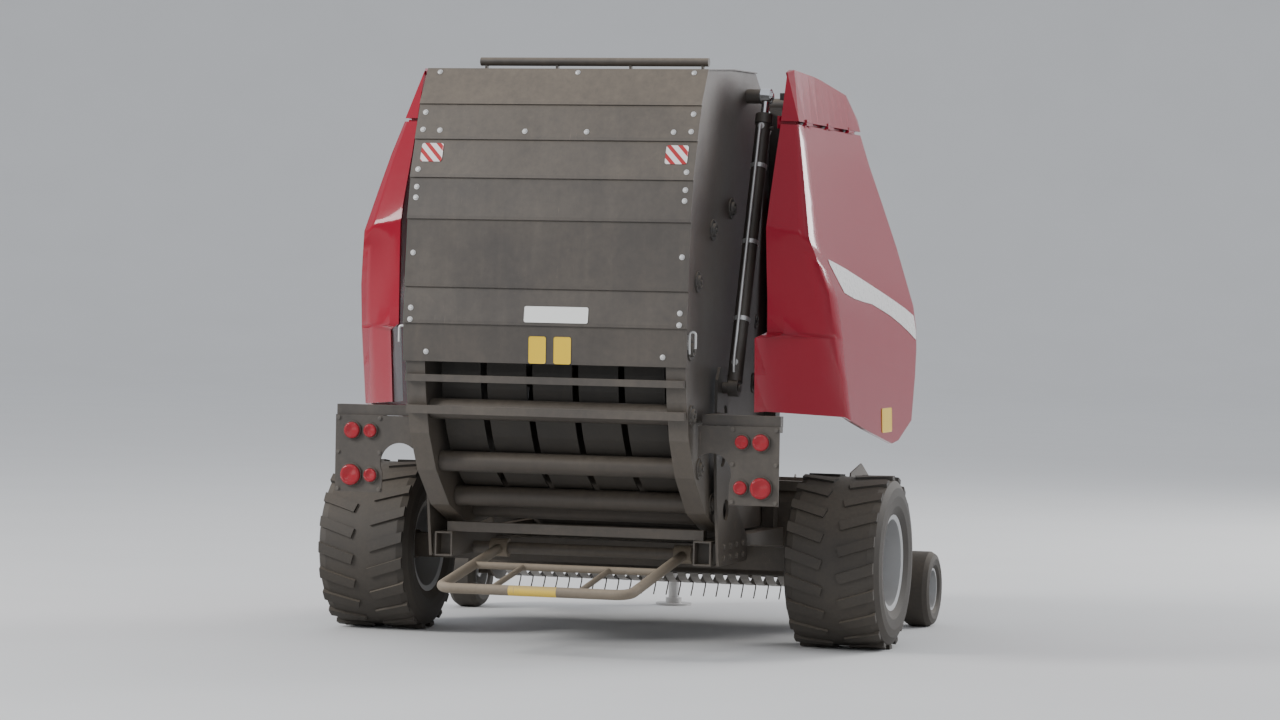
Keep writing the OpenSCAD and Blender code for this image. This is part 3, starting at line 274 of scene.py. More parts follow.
def begin():
    """Leaves edit mode with nothing selected."""
    if bpy.context.object and bpy.context.object.mode != "OBJECT":
        bpy.ops.object.mode_set(mode="OBJECT")
    bpy.ops.object.select_all(action="DESELECT")


def added(name):
    piece = bpy.context.object
    piece.name = name
    piece.data.name = name
    return piece


def chosen(piece):
    """Leaves only this piece selected and active."""
    begin()
    bpy.context.view_layer.objects.active = piece
    piece.select_set(True)


def edit(piece, kind="FACE"):
    chosen(piece)
    bpy.ops.object.mode_set(mode="EDIT")
    bpy.ops.mesh.select_mode(type=kind)


def pick(piece, test, kind="faces"):
    """Selects the faces, edges or corners of the open mesh that pass the test."""
    mesh = bmesh.from_edit_mesh(piece.data)
    parts = getattr(mesh, kind)
    for part in parts:
        part.select_set(False)
    for part in parts:
        if test(part):
            part.select_set(True)
    bmesh.update_edit_mesh(piece.data)


def close(piece):
    bpy.ops.object.mode_set(mode="OBJECT")
    return piece


def copied(piece, name, place):
    """A copy with its own mesh, moved by a matrix."""
    twin = piece.copy()
    twin.data = piece.data.copy()
    twin.name = name
    bpy.context.scene.collection.objects.link(twin)
    twin.data.transform(place)
    if place.determinant() < 0:
        twin.data.flip_normals()
    return twin


def joined(pieces, name):
    begin()
    for piece in pieces:
        piece.select_set(True)
    bpy.context.view_layer.objects.active = pieces[0]
    if len(pieces) > 1:
        bpy.ops.object.join()
    return added(name)


def settled(piece, angle=SMOOTH):
    """Puts the place into the mesh and smooths its rounds."""
    chosen(piece)
    bpy.ops.object.transform_apply(location=True, rotation=True, scale=True)
    bpy.ops.object.shade_smooth_by_angle(angle=angle)
    return piece


def bevelled(piece, width, segments=2):
    edge = piece.modifiers.new("edge", "BEVEL")
    edge.width = width
    edge.segments = segments
    edge.limit_method = "ANGLE"
    chosen(piece)
    bpy.ops.object.modifier_apply(modifier=edge.name)
    return piece


def scattered(piece, places, name, body, finish):
    """Copies a piece to each place, joins the copies and lets them ride on a body."""
    twins = [copied(piece, f"{name}_{i}", place) for i, place in enumerate(places)]
    bpy.data.objects.remove(piece)
    group = joined(twins, name)
    return dressed(group, body, finish)


def dressed(piece, body, finish):
    """Gives a piece its finish, and lets it ride on a body."""
    piece.data.materials.clear()
    piece.data.materials.append(FINISHES[finish])
    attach(piece, body)
    return piece


def at(x, y, z):
    """Point in the frame from its place against the axle."""
    return Vector((x + AXLE_X, y, z))


def found(node, start, way):
    """First point of a frame piece along a ray, and the way its face looks."""
    hit, place, normal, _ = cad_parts[node].ray_cast(start, Vector(way))
    if not hit:
        raise RuntimeError(f"nothing of {node} lies beyond {tuple(start)}")
    return place, normal


def height_on(line, x):
    """Height of a line of points at x, level beyond its ends."""
    for (x0, z0), (x1, z1) in zip(line, line[1:]):
        if x <= x1:
            return z0 + (z1 - z0) * max(0.0, x - x0) / (x1 - x0)
    return line[-1][1]


def turned_to(side, up, out, place):
    """Matrix that turns the axes to these and moves to a place."""
    return Matrix.Translation(place) @ Matrix((side, up, out)).transposed().to_4x4()


def seat(place, normal, up=(0, 0, 1)):
    """Matrix that lays a piece made on the ground plane on a face, its Y side up."""
    out = Vector(normal).normalized()
    high = Vector(up) - Vector(up).dot(out) * out
    if high.length < 0.01:
        high = Vector((1, 0, 0)) - out.x * out
    high.normalize()
    return turned_to(high.cross(out), high, out, place)


def seat_on(node, start, way):
    """Matrix that lays a piece on the first face of a frame piece along a ray."""
    return seat(*found(node, start, way))


# Material helpers

GROUPS = {}
FINISHES = {}


def feed(tree, value, target):
    """Links an output to the target, or gives the target a plain value."""
    if isinstance(value, bpy.types.NodeSocket):
        tree.links.new(value, target)
    else:
        target.default_value = value


def math_node(tree, operation, a, b=None, clamp=False):
    node = tree.nodes.new("ShaderNodeMath")
    node.operation = operation
    node.use_clamp = clamp
    feed(tree, a, node.inputs[0])
    if b is not None:
        feed(tree, b, node.inputs[1])
    return node.outputs[0]


def plus(tree, a, b, clamp=False):
    return math_node(tree, "ADD", a, b, clamp)


def times(tree, a, b, clamp=False):
    return math_node(tree, "MULTIPLY", a, b, clamp)


def sine_along(tree, value, pace):
    return math_node(tree, "SINE", times(tree, value, pace))


def fed(tree, node, **values):
    """Gives the named inputs of a node their values or links."""
    for name, value in values.items():
        feed(tree, value, node.inputs[name.replace("_", " ")])
    return node


def fed_node(tree, kind, **values):
    return fed(tree, tree.nodes.new("ShaderNode" + kind), **values)


def noise_node(tree, vector, scale, detail=4.0, rough=0.55):
    node = fed_node(tree, "TexNoise", Vector=vector, Scale=scale, Detail=detail, Roughness=rough)
    return node.outputs["Fac"]


def ramp_node(tree, value, low, high):
    """Smooth step from 0 at the low value to 1 at the high one."""
    node = fed_node(tree, "MapRange", Value=value, From_Min=low, From_Max=high)
    node.interpolation_type = "SMOOTHSTEP"
    return node.outputs["Result"]


def mix_node(tree, share, a, b):
    """Mixes two colours; the mix node has its colours on inputs 6 and 7 and puts them out on 2."""
    node = tree.nodes.new("ShaderNodeMix")
    node.data_type = "RGBA"
    for slot, value in ((0, share), (6, a), (7, b)):
        feed(tree, value, node.inputs[slot])
    return node.outputs[2]


def stretched(tree, vector, scale):
    return fed_node(tree, "Mapping", Vector=vector, Scale=scale).outputs["Vector"]


def bump_node(tree, height, strength, distance):
    return fed_node(tree, "Bump", Height=height, Strength=strength, Distance=distance).outputs["Normal"]


def spot_node(tree, kind="Object"):
    return tree.nodes.new("ShaderNodeTexCoord").outputs[kind]


def axes_of(tree, vector):
    """The three numbers of a vector."""
    return fed_node(tree, "SeparateXYZ", Vector=vector).outputs


def new_group(name, takes, gives):
    """Node group with named inputs at their start values, and named outputs."""
    group = bpy.data.node_groups.new(name, "ShaderNodeTree")
    for label, value in takes.items():
        kind = "NodeSocketColor" if isinstance(value, tuple) else "NodeSocketFloat"
        group.interface.new_socket(name=label, in_out="INPUT", socket_type=kind).default_value = value
    for label in gives:
        kind = {"Color": "NodeSocketColor", "Normal": "NodeSocketVector"}.get(label, "NodeSocketFloat")
        group.interface.new_socket(name=label, in_out="OUTPUT", socket_type=kind)
    return group, group.nodes.new("NodeGroupInput"), group.nodes.new("NodeGroupOutput")


def put_out(group, out, **values):
    """Links what a group has made to its outputs."""
    GROUPS[group.name] = group
    fed(group, out, **values)


def dust_film():
    """Dry dust that lies on upward faces, in streaks, and thicker near the ground."""
    group, given, out = new_group(
        "dust_film",
        {"Paint": (0.1, 0.1, 0.1, 1), "Dust": (0.36, 0.29, 0.21, 1), "Amount": 0.5, "Clean": 0.3,
         "Fine": 30.0}, ("Color", "Roughness", "Mask"))
    spot = spot_node(group)
    cloud = ramp_node(group, noise_node(group, spot, scale=2.2, detail=6.0, rough=0.62), 0.30, 0.72)
    fine = noise_node(group, spot, scale=given.outputs["Fine"], detail=8.0, rough=0.7)
    running = noise_node(group, stretched(group, spot, (14.0, 14.0, 0.9)), scale=1.0, detail=5.0, rough=0.6)
    streak = ramp_node(group, running, 0.45, 0.75)
    upward = ramp_node(group, axes_of(group, spot_node(group, "Normal"))[2], 0.05, 0.85)
    low = ramp_node(group, axes_of(group, spot)[2], *DUST_HEIGHTS)
    base = DUST_BASE
    for mask, share in ((cloud, DUST_CLOUD), (upward, DUST_UPWARD), (low, DUST_LOW), (streak, DUST_STREAK)):
        base = plus(group, times(group, mask, share), base)
    grain = plus(group, fine, 0.5)
    mask = times(group, times(group, base, grain), given.outputs["Amount"], True)
    shade = mix_node(group, mask, given.outputs["Paint"], given.outputs["Dust"])
    rough = plus(group, given.outputs["Clean"], times(group, mask, 0.62), True)
    uneven = times(group, math_node(group, "SUBTRACT", fine, 0.5), 0.10)
    put_out(group, out, Color=shade, Roughness=plus(group, rough, uneven, True), Mask=mask)


def paint_chips():
    """Small chips and scratches that show primer or bare steel."""
    group, given, out = new_group(
        "paint_chips", {"Paint": (0.1, 0.1, 0.1, 1), "Metal": (0.25, 0.20, 0.17, 1), "Amount": 0.5},
        ("Color", "Mask"))
    spot = spot_node(group)
    region = ramp_node(group, noise_node(group, spot, scale=3.5, detail=3.0), 0.5, 0.72)
    chip = ramp_node(group, noise_node(group, spot, scale=95.0, detail=6.0, rough=0.7), 0.63, 0.67)
    lines = noise_node(group, stretched(group, spot, (6.0, 160.0, 9.0)), scale=1.0, detail=3.0)
    mask = times(group, math_node(group, "MAXIMUM", chip, ramp_node(group, lines, 0.67, 0.70)), region)
    mask = times(group, mask, given.outputs["Amount"], True)
    shade = mix_node(group, mask, given.outputs["Paint"], given.outputs["Metal"])
    put_out(group, out, Color=shade, Mask=mask)


def surface_relief():
    """Normals of a painted, rolled or cast skin."""
    group, given, out = new_group(
        "surface_relief", {"Scale": 300.0, "Depth": 0.1, "Waves": 0.1}, ("Normal",))
    spot = spot_node(group)
    grain = noise_node(group, spot, scale=given.outputs["Scale"], detail=3.0, rough=0.6)
    waves = noise_node(group, spot, scale=4.0, detail=2.0, rough=0.5)
    high = plus(group, times(group, grain, given.outputs["Depth"]),
                times(group, waves, given.outputs["Waves"]))
    put_out(group, out, Normal=bump_node(group, high, strength=1.0, distance=0.01))


def placed_group(tree, name, **values):
    """Puts a shared effect into a material with its own values."""
    node = tree.nodes.new("ShaderNodeGroup")
    node.node_tree = GROUPS[name]
    return fed(tree, node, **values)


def new_finish(name):
    finish = bpy.data.materials.new(name)
    finish.use_nodes = True
    FINISHES[name] = finish
    return finish.node_tree, finish.node_tree.nodes["Principled BSDF"]


def filmed(tree, shader, paint, amount, clean, fine=30.0, normal=None):
    """Lays dust over a paint and links the result, and the relief's normals, to the shader."""
    film = placed_group(
        tree, "dust_film", Paint=paint, Dust=looks().dust_colour, Amount=amount, Clean=clean, Fine=fine)
    fed(tree, shader, Base_Color=film.outputs["Color"], Roughness=film.outputs["Roughness"])
    if normal is not None:
        fed(tree, shader, Normal=normal)
    return film.outputs["Mask"]


def painted(name, colour, clean, dust, chips, metallic=0.0, coat=0.0, grain=(420.0, 0.05, 0.10), metal=PRIMER,
            gloss=0.5):
    """Painted, plated or moulded surface with chips, dust and relief (grain: scale, depth, waves)."""
    tree, shader = new_finish(name)
    chipped = placed_group(tree, "paint_chips", Paint=colour, Metal=metal, Amount=chips)
    relief = placed_group(tree, "surface_relief", Scale=grain[0], Depth=grain[1], Waves=grain[2])
    dusty = filmed(tree, shader, chipped.outputs["Color"], dust * looks().dust_amount, clean,
                   normal=relief.outputs["Normal"])
    if metallic:
        fed(tree, shader, Metallic=math_node(tree, "SUBTRACT", metallic, dusty, True))
    if coat:
        worn = times(tree, math_node(tree, "SUBTRACT", 1.0, dusty, True), coat)
        fed(tree, shader, Coat_Weight=worn, Coat_Roughness=0.06)
    fed(tree, shader, Specular_IOR_Level=gloss)


def rubber(name, colour, dust, rib_axis=None, ribs=0.0):
    """Dusty rubber, with fine ribs across one direction where it has them."""
    tree, shader = new_finish(name)
    spot = spot_node(tree)
    high = noise_node(tree, spot, scale=240.0, detail=4.0, rough=0.7)
    if rib_axis is not None:
        wave = sine_along(tree, axes_of(tree, spot)[rib_axis], ribs)
        high = plus(tree, times(tree, high, 0.35), times(tree, wave, 0.4))
    filmed(tree, shader, colour, dust * looks().dust_amount, clean=0.62, fine=60.0,
           normal=bump_node(tree, high, strength=0.35, distance=0.002))


def net_cloth():
    """Edge of a wound roll of knitted net."""
    tree, shader = new_finish("knitted_net")
    spot = spot_node(tree)
    along = sine_along(tree, axes_of(tree, spot)[1], 520.0)
    around = noise_node(tree, stretched(tree, spot, (180.0, 20.0, 180.0)), scale=1.0, detail=3.0)
    mesh = times(tree, plus(tree, along, 1.0), around)
    paint = mix_node(tree, ramp_node(tree, mesh, 0.2, 0.9), *NET_COLOURS)
    filmed(tree, shader, paint, 0.2, clean=0.6, normal=bump_node(tree, mesh, strength=0.5, distance=0.002))


def striped_sign():
    """Marker film with red stripes that fall to the right on white."""
    tree, shader = new_finish("striped_sign")
    axes = axes_of(tree, spot_node(tree))
    across = math_node(tree, "SUBTRACT", axes[2], axes[1])
    wave = sine_along(tree, across, 2 * math.pi / SIGN_PITCH)
    filmed(tree, shader, mix_node(tree, ramp_node(tree, wave, 0.10, 0.25), *SIGN_COLOURS), 0.10, clean=0.30)


def lamp_lens():
    """Red moulded lens with fine prisms."""
    tree, shader = new_finish("lamp_lens")
    axes = axes_of(tree, spot_node(tree))
    prism = times(tree, sine_along(tree, axes[1], 900.0), sine_along(tree, axes[2], 900.0))
    filmed(tree, shader, LENS_RED, 0.08, clean=0.12,
           normal=bump_node(tree, prism, strength=0.6, distance=0.0015))
    fed(tree, shader, Coat_Weight=0.35, Specular_IOR_Level=0.2, Coat_Roughness=0.05)


def make_finishes():
    dust_film()
    paint_chips()
    surface_relief()
    for name, colour, clean, dust, chips, more in PAINTS:
        if isinstance(colour, str):
            colour = getattr(looks(), colour)
        painted(name, colour, clean, dust, chips, **more)
    rubber("tyre_rubber", (0.014, 0.0135, 0.0135, 1), 0.34)
    rubber("belt_rubber", (0.010, 0.010, 0.010, 1), 0.35, rib_axis=1, ribs=1400.0)
    net_cloth()
    striped_sign()
    lamp_lens()


def finish_nodes(finish, *names):
    for name in names:
        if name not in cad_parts:
            raise RuntimeError(f"the frame has no piece named {name}")
        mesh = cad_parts[name].data
        mesh.materials.clear()
        mesh.materials.append(FINISHES[finish])


# Small fastenings, each made on the ground plane with its seat at z = 0

def turned(name, sides, profile):
    """Round or many-sided piece grown from a disc: each step is a radius and a height."""
    begin()
    (radius, height), steps = profile[0], profile[1:]
    bpy.ops.mesh.primitive_cylinder_add(
        vertices=sides, radius=radius, depth=height, location=(0, 0, height / 2))
    piece = added(name)
    bpy.ops.object.transform_apply(location=True, rotation=False, scale=False)
    edit(piece)
    pick(piece, lambda face: face.normal.z > 0.9)
    for wide, high in steps:
        if abs(high - height) < 1e-7:
            bpy.ops.mesh.inset(thickness=radius - wide)
        else:
            bpy.ops.mesh.extrude_region_move(TRANSFORM_OT_translate={"value": (0, 0, high - height)})
            bpy.ops.transform.resize(value=(wide / radius, wide / radius, 1.0))
        radius, height = wide, high
    return close(piece)


def band(name, sides, radius, depth, wall):
    """Open ring with square edges, centred on its axis."""
    begin()
    bpy.ops.mesh.primitive_cylinder_add(vertices=sides, radius=radius, depth=depth, location=(0, 0, 0))
    ring = added(name)
    edit(ring)
    pick(ring, lambda face: abs(face.normal.z) > 0.9)
    bpy.ops.mesh.inset(thickness=wall)
    bpy.ops.mesh.bridge_edge_loops()
    return close(ring)


def dome_bolt(radius):
    """Round-headed bolt on its washer."""
    r = radius
    return turned("bolt", 12, ((r, 0.002), (r * 0.80, 0.002), (r * 0.74, r * 0.28), (r * 0.46, r * 0.48)))


def hex_bolt(radius):
    """Six-sided bolt head on a round washer."""
    washer = turned("washer", 16, ((radius * 1.25, 0.0025), (radius * 1.15, 0.0028)))
    head = turned("head", 6, ((radius, radius * 0.60), (radius * 0.88, radius * 0.68)))
    return joined([washer, head], "hex_bolt")


def hex_nut(radius):
    """Wheel nut on its cone, with the stud's end."""
    r = radius
    return turned("nut", 6, (
        (r, 0.015), (r * 0.86, 0.018), (r * 0.60, 0.018), (r * 0.58, 0.026), (r * 0.48, 0.028)))


def bearing(radius):
    """Flanged bearing with its raised ring, its cap and three bolts."""
    r = radius
    flange = 0.007
    ring = turned("bearing", 24, (
        (r, flange), (r * 0.66, flange), (r * 0.60, 0.020), (r * 0.46, 0.020), (r * 0.42, 0.016),
        (r * 0.22, 0.016), (r * 0.20, 0.024), (r * 0.12, 0.025)))
    heads = []
    circle = r * 0.82
    for k in range(3):
        turn = math.radians(90 + 120 * k)
        heads.append(copied(BOLT["small"], f"bearing_bolt_{k}", Matrix.Translation((
            circle * math.cos(turn), circle * math.sin(turn), flange))))
    return joined([ring] + heads, "bearing")


def plate(width, height, thick=0.003):
    """Bare plate with rounded corners and a raised edge."""
    corner, rim, sink = min(width, height) * 0.12, 0.003, thick * 0.3
    begin()
    bpy.ops.mesh.primitive_cube_add(size=1.0, location=(0, 0, thick / 2), scale=(width, height, thick))
    sheet = settled(added("plate"))
    edit(sheet, "EDGE")
    pick(sheet, lambda edge: abs(edge.verts[0].co.z - edge.verts[1].co.z) > thick * 0.5, "edges")
    bpy.ops.mesh.bevel(offset=corner, segments=4, affect="EDGES")
    bpy.ops.mesh.select_mode(type="FACE")
    pick(sheet, lambda face: face.normal.z > 0.9)
    bpy.ops.mesh.inset(thickness=rim)
    bpy.ops.transform.translate(value=(0, 0, -sink))
    return close(sheet)


def pipe(name, points, radius, sides=12):
    """Bent steel pipe through points, with filleted bends."""
    begin()
    bpy.ops.mesh.primitive_circle_add(vertices=sides, radius=radius, fill_type="NGON", location=(0, 0, 0))
    made = added(name)
    stops = rounded(points, radius * BEND)
    lead = (stops[1] - stops[0]).normalized()
    made.data.transform(seat(stops[0], lead, (0, 0, 1) if abs(lead.z) < 0.8 else (0, 1, 0)))
    edit(made)
    bpy.ops.mesh.select_all(action="SELECT")
    for before, here, after in zip(stops, stops[1:], stops[2:] + [None]):
        way_in = (here - before).normalized()
        way_out = (after - here).normalized() if after is not None else way_in
        bpy.ops.mesh.extrude_region_move(TRANSFORM_OT_translate={"value": here - before})
        mesh = bmesh.from_edit_mesh(made.data)
        ends = [v for v in mesh.verts if v.select]
        half = (way_in + way_out).normalized()
        turn = lead.rotation_difference(half)
        for v in ends:
            v.co = here + turn @ (v.co - here)
        bmesh.update_edit_mesh(made.data)
        lead = half
    bpy.ops.mesh.select_all(action="SELECT")
    bpy.ops.mesh.normals_make_consistent(inside=False)
    return settled(close(made), SMOOTH_ROUND)


def rounded(points, reach):
    """Points with each inner corner cut back into four."""
    points = [Vector(p) for p in points]
    stops = [points[0]]
    for before, corner, after in zip(points, points[1:], points[2:]):
        a = corner + (before - corner).normalized() * min(reach, (before - corner).length * 0.45)
        b = corner + (after - corner).normalized() * min(reach, (after - corner).length * 0.45)
        for share in (0.0, 0.33, 0.67, 1.0):
            stops.append(a * (1 - share) ** 2 + corner * 2 * share * (1 - share) + b * share ** 2)
    return stops + [points[-1]]


BOLT = {}


def make_bolts():
    for kind, radius in BOLT_RADII:
        BOLT[kind] = hex_bolt(radius)


def drop_bolts():
    for model in BOLT.values():
        bpy.data.objects.remove(model)
    BOLT.clear()


def bolted(name, node, kind, xs, ys, zs, way, finish="zinc_plate", slot="zinc"):
    """Rows of bolts on one side of a chassis piece, each found along a ray."""
    places = [seat_on(node, at(x, y, z), way) for x in xs for y in ys for z in zs]
    model = copied(BOLT[kind], name, Matrix())
    return scattered(model, places, name, "chassis", finish)


def on_ram(way, along, across=0.0):
    """Point at a ram: its side, the place along its axis, the distance from the axis."""
    return at(*(RAM_FOOT + RAM_ALONG * along + RAM_ACROSS * across + Vector((0, way * RAM_REACH, 0))))


def on_ring(angle, y):
    """Start of a ray to the end of a belt roller."""
    x, z, radius = RING
    turn = math.radians(angle)
    return at(x + radius * math.cos(turn), y, z + radius * math.sin(turn))


def bearings(name, node, angles, ways, body):
    """Bearings over the ends of belt rollers, on one side or on both."""
    places = [seat_on(node, on_ring(angle, way * BESIDE), (0, -way, 0)) for angle in angles for way in ways]
    scattered(bearing(BEARING_RADIUS), places, name, body, "cast_iron")


def fitted_plate(name, size, node, start, way, body, finish):
    """Bare plate on the first face of a frame piece along a ray."""
    board = plate(*size)
    board.data.transform(seat_on(node, start, way))
    board.name = name
    dressed(settled(board), body, finish)


class BALER_OT_stage(bpy.types.Operator):
    """Adds the floor, the lights and the camera"""

    bl_idname = "baler.stage"
    bl_label = "Studio stage"

    def execute(self, context):
        self.floor()
        world = bpy.data.worlds.new("studio_air")
        world.use_nodes = True
        tree = world.node_tree
        fed(tree, tree.nodes["Background"], Color=AIR_COLOUR, Strength=AIR_STRENGTH * looks().light)
        context.scene.world = world
        for name, place, aim, size, watts in SOFT_BOXES:
            bpy.ops.object.light_add(type="AREA", location=place)
            lamp = bpy.context.object
            lamp.name = f"soft_box_{name}"
            lamp.data.shape = "DISK"
            lamp.data.size = size
            lamp.data.energy = watts * looks().light
            lamp.rotation_euler = (Vector(aim) - Vector(place)).to_track_quat("-Z", "Y").to_euler()
        context.scene.camera = self.camera()
        return {"FINISHED"}

    def floor(self):
        """Pale disc whose rim rises in eight rings to a backdrop."""
        begin()
        bpy.ops.mesh.primitive_circle_add(
            vertices=128, radius=FLOOR_REACH, fill_type="NGON", location=(0, 0, 0))
        floor = added("studio_floor")
        edit(floor, "EDGE")
        pick(floor, lambda edge: edge.is_boundary, "edges")
        radius, height = FLOOR_REACH, 0.0
        for k in range(1, 9):
            turn = math.radians(10 * k)
            wide, high = FLOOR_REACH + FLOOR_SWEEP * math.sin(turn), FLOOR_SWEEP * (1 - math.cos(turn))
            bpy.ops.mesh.extrude_edges_move(TRANSFORM_OT_translate={"value": (0, 0, high - height)})
            bpy.ops.transform.resize(value=(wide / radius, wide / radius, 1.0))
            radius, height = wide, high
        close(floor)
        settled(floor, SMOOTH_FLOOR)
        tree, shader = new_finish("studio_paper")
        tone = noise_node(tree, spot_node(tree), scale=0.8, detail=3.0)
        fed(tree, shader, Base_Color=mix_node(tree, tone, *PAPER_TONES), Roughness=0.85)
        floor.data.materials.append(FINISHES["studio_paper"])

    def camera(self):
        """Camera at the photo's viewing angle, rolled as the photo is."""
        bpy.ops.object.camera_add(location=EYE)
        camera = bpy.context.object
        camera.name = "photo_view"
        ahead = (AIM - EYE).normalized()
        right = ahead.cross(Vector((0, 0, 1))).normalized()
        level = right.cross(ahead)
        tilt = math.radians(ROLL)
        up = level * math.cos(tilt) + right * math.sin(tilt)
        camera.matrix_world = turned_to(ahead.cross(up), up, -ahead, EYE)
        camera.data.sensor_width = 36.0
        camera.data.lens = looks().lens
        camera.data.clip_end = 400.0
        return camera


class BALER_OT_gate(bpy.types.Operator):
    """Finishes the gate and fits its bolts, bearings, latches and bare plates"""

    bl_idname = "baler.gate"
    bl_label = "Gate"

    def execute(self, context):
        finish_nodes("gate_paint", "tailgate_frame", "tailgate_sheets", "tailgate_bars")
        # The gate's rollers take the steel painted near black as painted shade
        finish_nodes("roller_steel", "tailgate_rollers")
        finish_nodes("belt_rubber", "tailgate_belts")
        spots = [(y, z) for z, reach in GATE_BOLTS for y in (-reach, reach)]
        spots += [(y, TOP_BOLTS_Z) for y in TOP_BOLTS]
        places = [seat_on("tailgate_sheets", at(BEHIND, y, z), FORWARD) for y, z in spots]
        scattered(dome_bolt(looks().bolt_radius), places, "gate_bolts", "tailgate", "zinc_plate")
        for name, z, y, wide, tall, finish, slot in GATE_PLATES:
            fitted_plate(name, (wide, tall), "tailgate_sheets", at(BEHIND, y, z), FORWARD,
                         "tailgate", finish)
        bearings("gate_bearings", "tailgate_frame", GATE_ROLLERS, (-1, 1), "tailgate")
        for side, way in SIDES:
            self.latch(side, way)
        return {"FINISHED"}

    def latch(self, side, way):
        """Bent steel rod over a small bolted plate on the gate's side."""
        x, top, wide, drop, radius = LATCH
        face, normal = found("tailgate_frame", at(x, way * BESIDE, top - 0.05), (0, -way, 0))
        near, far = face.y + way * LATCH_GAP, face.y + way * (LATCH_GAP + wide)
        rod = pipe(f"latch_rod_{side}", [
            (face.x, near, top - drop), (face.x, near, top), (face.x, far, top),
            (face.x, far, top - drop * 0.75)], radius)
        base = plate(*LATCH_PLATE)
        base.data.transform(seat(face, normal))
        ahead, out, up = LATCH_BOLTS
        spots = [face + Vector((ahead, way * out, height)) for height in (-up, up)]
        bolts = [copied(BOLT["small"], "latch_bolt", seat(spot, normal)) for spot in spots]
        dressed(joined([rod, settled(base)] + bolts, f"gate_latch_{side}"), "tailgate", "zinc_plate")


class BALER_OT_covers(bpy.types.Operator):
    """Finishes the lid, models the skins of doors, stripes and caps, and adds the seals and a bare plate"""

    bl_idname = "baler.covers"
    bl_label = "Covers"

    def execute(self, context):
        finish_nodes("cover_gloss", "wrap_lid")
        x, z = DOOR_PLATE_AT
        fitted_plate("door_plate_yellow", DOOR_PLATE, "side_door_right", at(x, -BESIDE, z), (0, 1, 0),
                     "door_right", "plate_yellow")
        for row in SKINS:
            self.skin(*row)
        for side, way in SIDES:
            strips = [self.strip(way, a, b) for a, b in zip(SEAL_LINE, SEAL_LINE[1:])]
            dressed(settled(joined(strips, f"cap_seal_{side}")), "chassis", "cover_gloss")
        return {"FINISHED"}

    def skin(self, node, name, body):
        """Merged copy of a cover, with the form that the photo shows, in the cover's place."""
        begin()
        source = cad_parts[node]
        skin = source.copy()
        skin.data = source.data.copy()
        for key in list(skin.keys()):
            if key.startswith("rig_"):
                del skin[key]
        skin.parent = None
        skin.name = name
        bpy.context.scene.collection.objects.link(skin)
        edit(skin)
        bpy.ops.mesh.select_all(action="SELECT")
        bpy.ops.mesh.remove_doubles(threshold=0.0002)
        way = 1 if body == "door_left" else -1
        slot, finish = "cover_red", "cover_gloss"
        if node.startswith("door_stripe"):
            slot, finish = "stripe_white", "stripe_gloss"
            self.draw_in(skin, node.replace("door_stripe", "side_door"), way)
        elif node.startswith("side_door"):
            self.narrow_step(skin, way)
        close(skin)
        settled(skin, SMOOTH_COVER)
        even = skin.modifiers.new("even", "WEIGHTED_NORMAL")
        even.keep_sharp = True
        even.weight = 90
        bpy.ops.object.modifier_apply(modifier=even.name)
        dressed(skin, body, finish)
        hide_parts(node)

    def draw_in(self, skin, door, way):
        """Moves the rows of a stripe between its edges in the photo, at their distance from the door."""
        mesh = bmesh.from_edit_mesh(skin.data)
        for corner in mesh.verts:
            x, y, z = corner.co
            along = x - AXLE_X
            top, foot = height_on(FRAME_STRIPE_TOP, along), height_on(FRAME_STRIPE_FOOT, along)
            share = (top - z) / (top - foot)
            top, foot = height_on(STRIPE_TOP, along), height_on(STRIPE_FOOT, along)
            height = top + (foot - top) * share
            before, _ = found(door, Vector((x, way * BESIDE, z)), (0, -way, 0))
            after, _ = found(door, Vector((x, way * BESIDE, height)), (0, -way, 0))
            corner.co = (x, y + after.y - before.y, height)
        bmesh.update_edit_mesh(skin.data)

    def narrow_step(self, skin, way):
        """Moves the columns of the rear facet so that its step is only a flange at the inner edge."""
        depth = Vector(STEP_DEPTH)
        bpy.ops.mesh.select_mode(type="VERT")
        for inner, crease in STEP_ROWS:
            inner, crease = Vector(inner), Vector(crease)
            for k in range(1, STEP_COLUMNS):
                spot = inner.lerp(crease, k / STEP_COLUMNS)
                spot = at(spot.x, way * spot.y, spot.z)
                move = (depth - (crease - inner) / STEP_COLUMNS) * (STEP_COLUMNS - k) / (STEP_COLUMNS - 1)
                pick(skin, lambda corner: (corner.co - spot).length < STEP_NEAR, "verts")
                bpy.ops.transform.translate(value=(move.x, way * move.y, move.z))

    def strip(self, way, a, b):
        """One straight length of the seal, between two corners of its line."""
        begin()
        low, high = SEAL_HEIGHTS
        middle = (low + high) / 2
        start, end = at(a[0], way * a[1], middle), at(b[0], way * b[1], middle)
        run = end - start
        bpy.ops.mesh.primitive_cube_add(
            size=1.0, location=(start + end) / 2, scale=(run.length, SEAL_THICK, high - low),
            rotation=(0, 0, math.atan2(run.y, run.x)))
        return bevelled(settled(added("seal")), 0.0015)


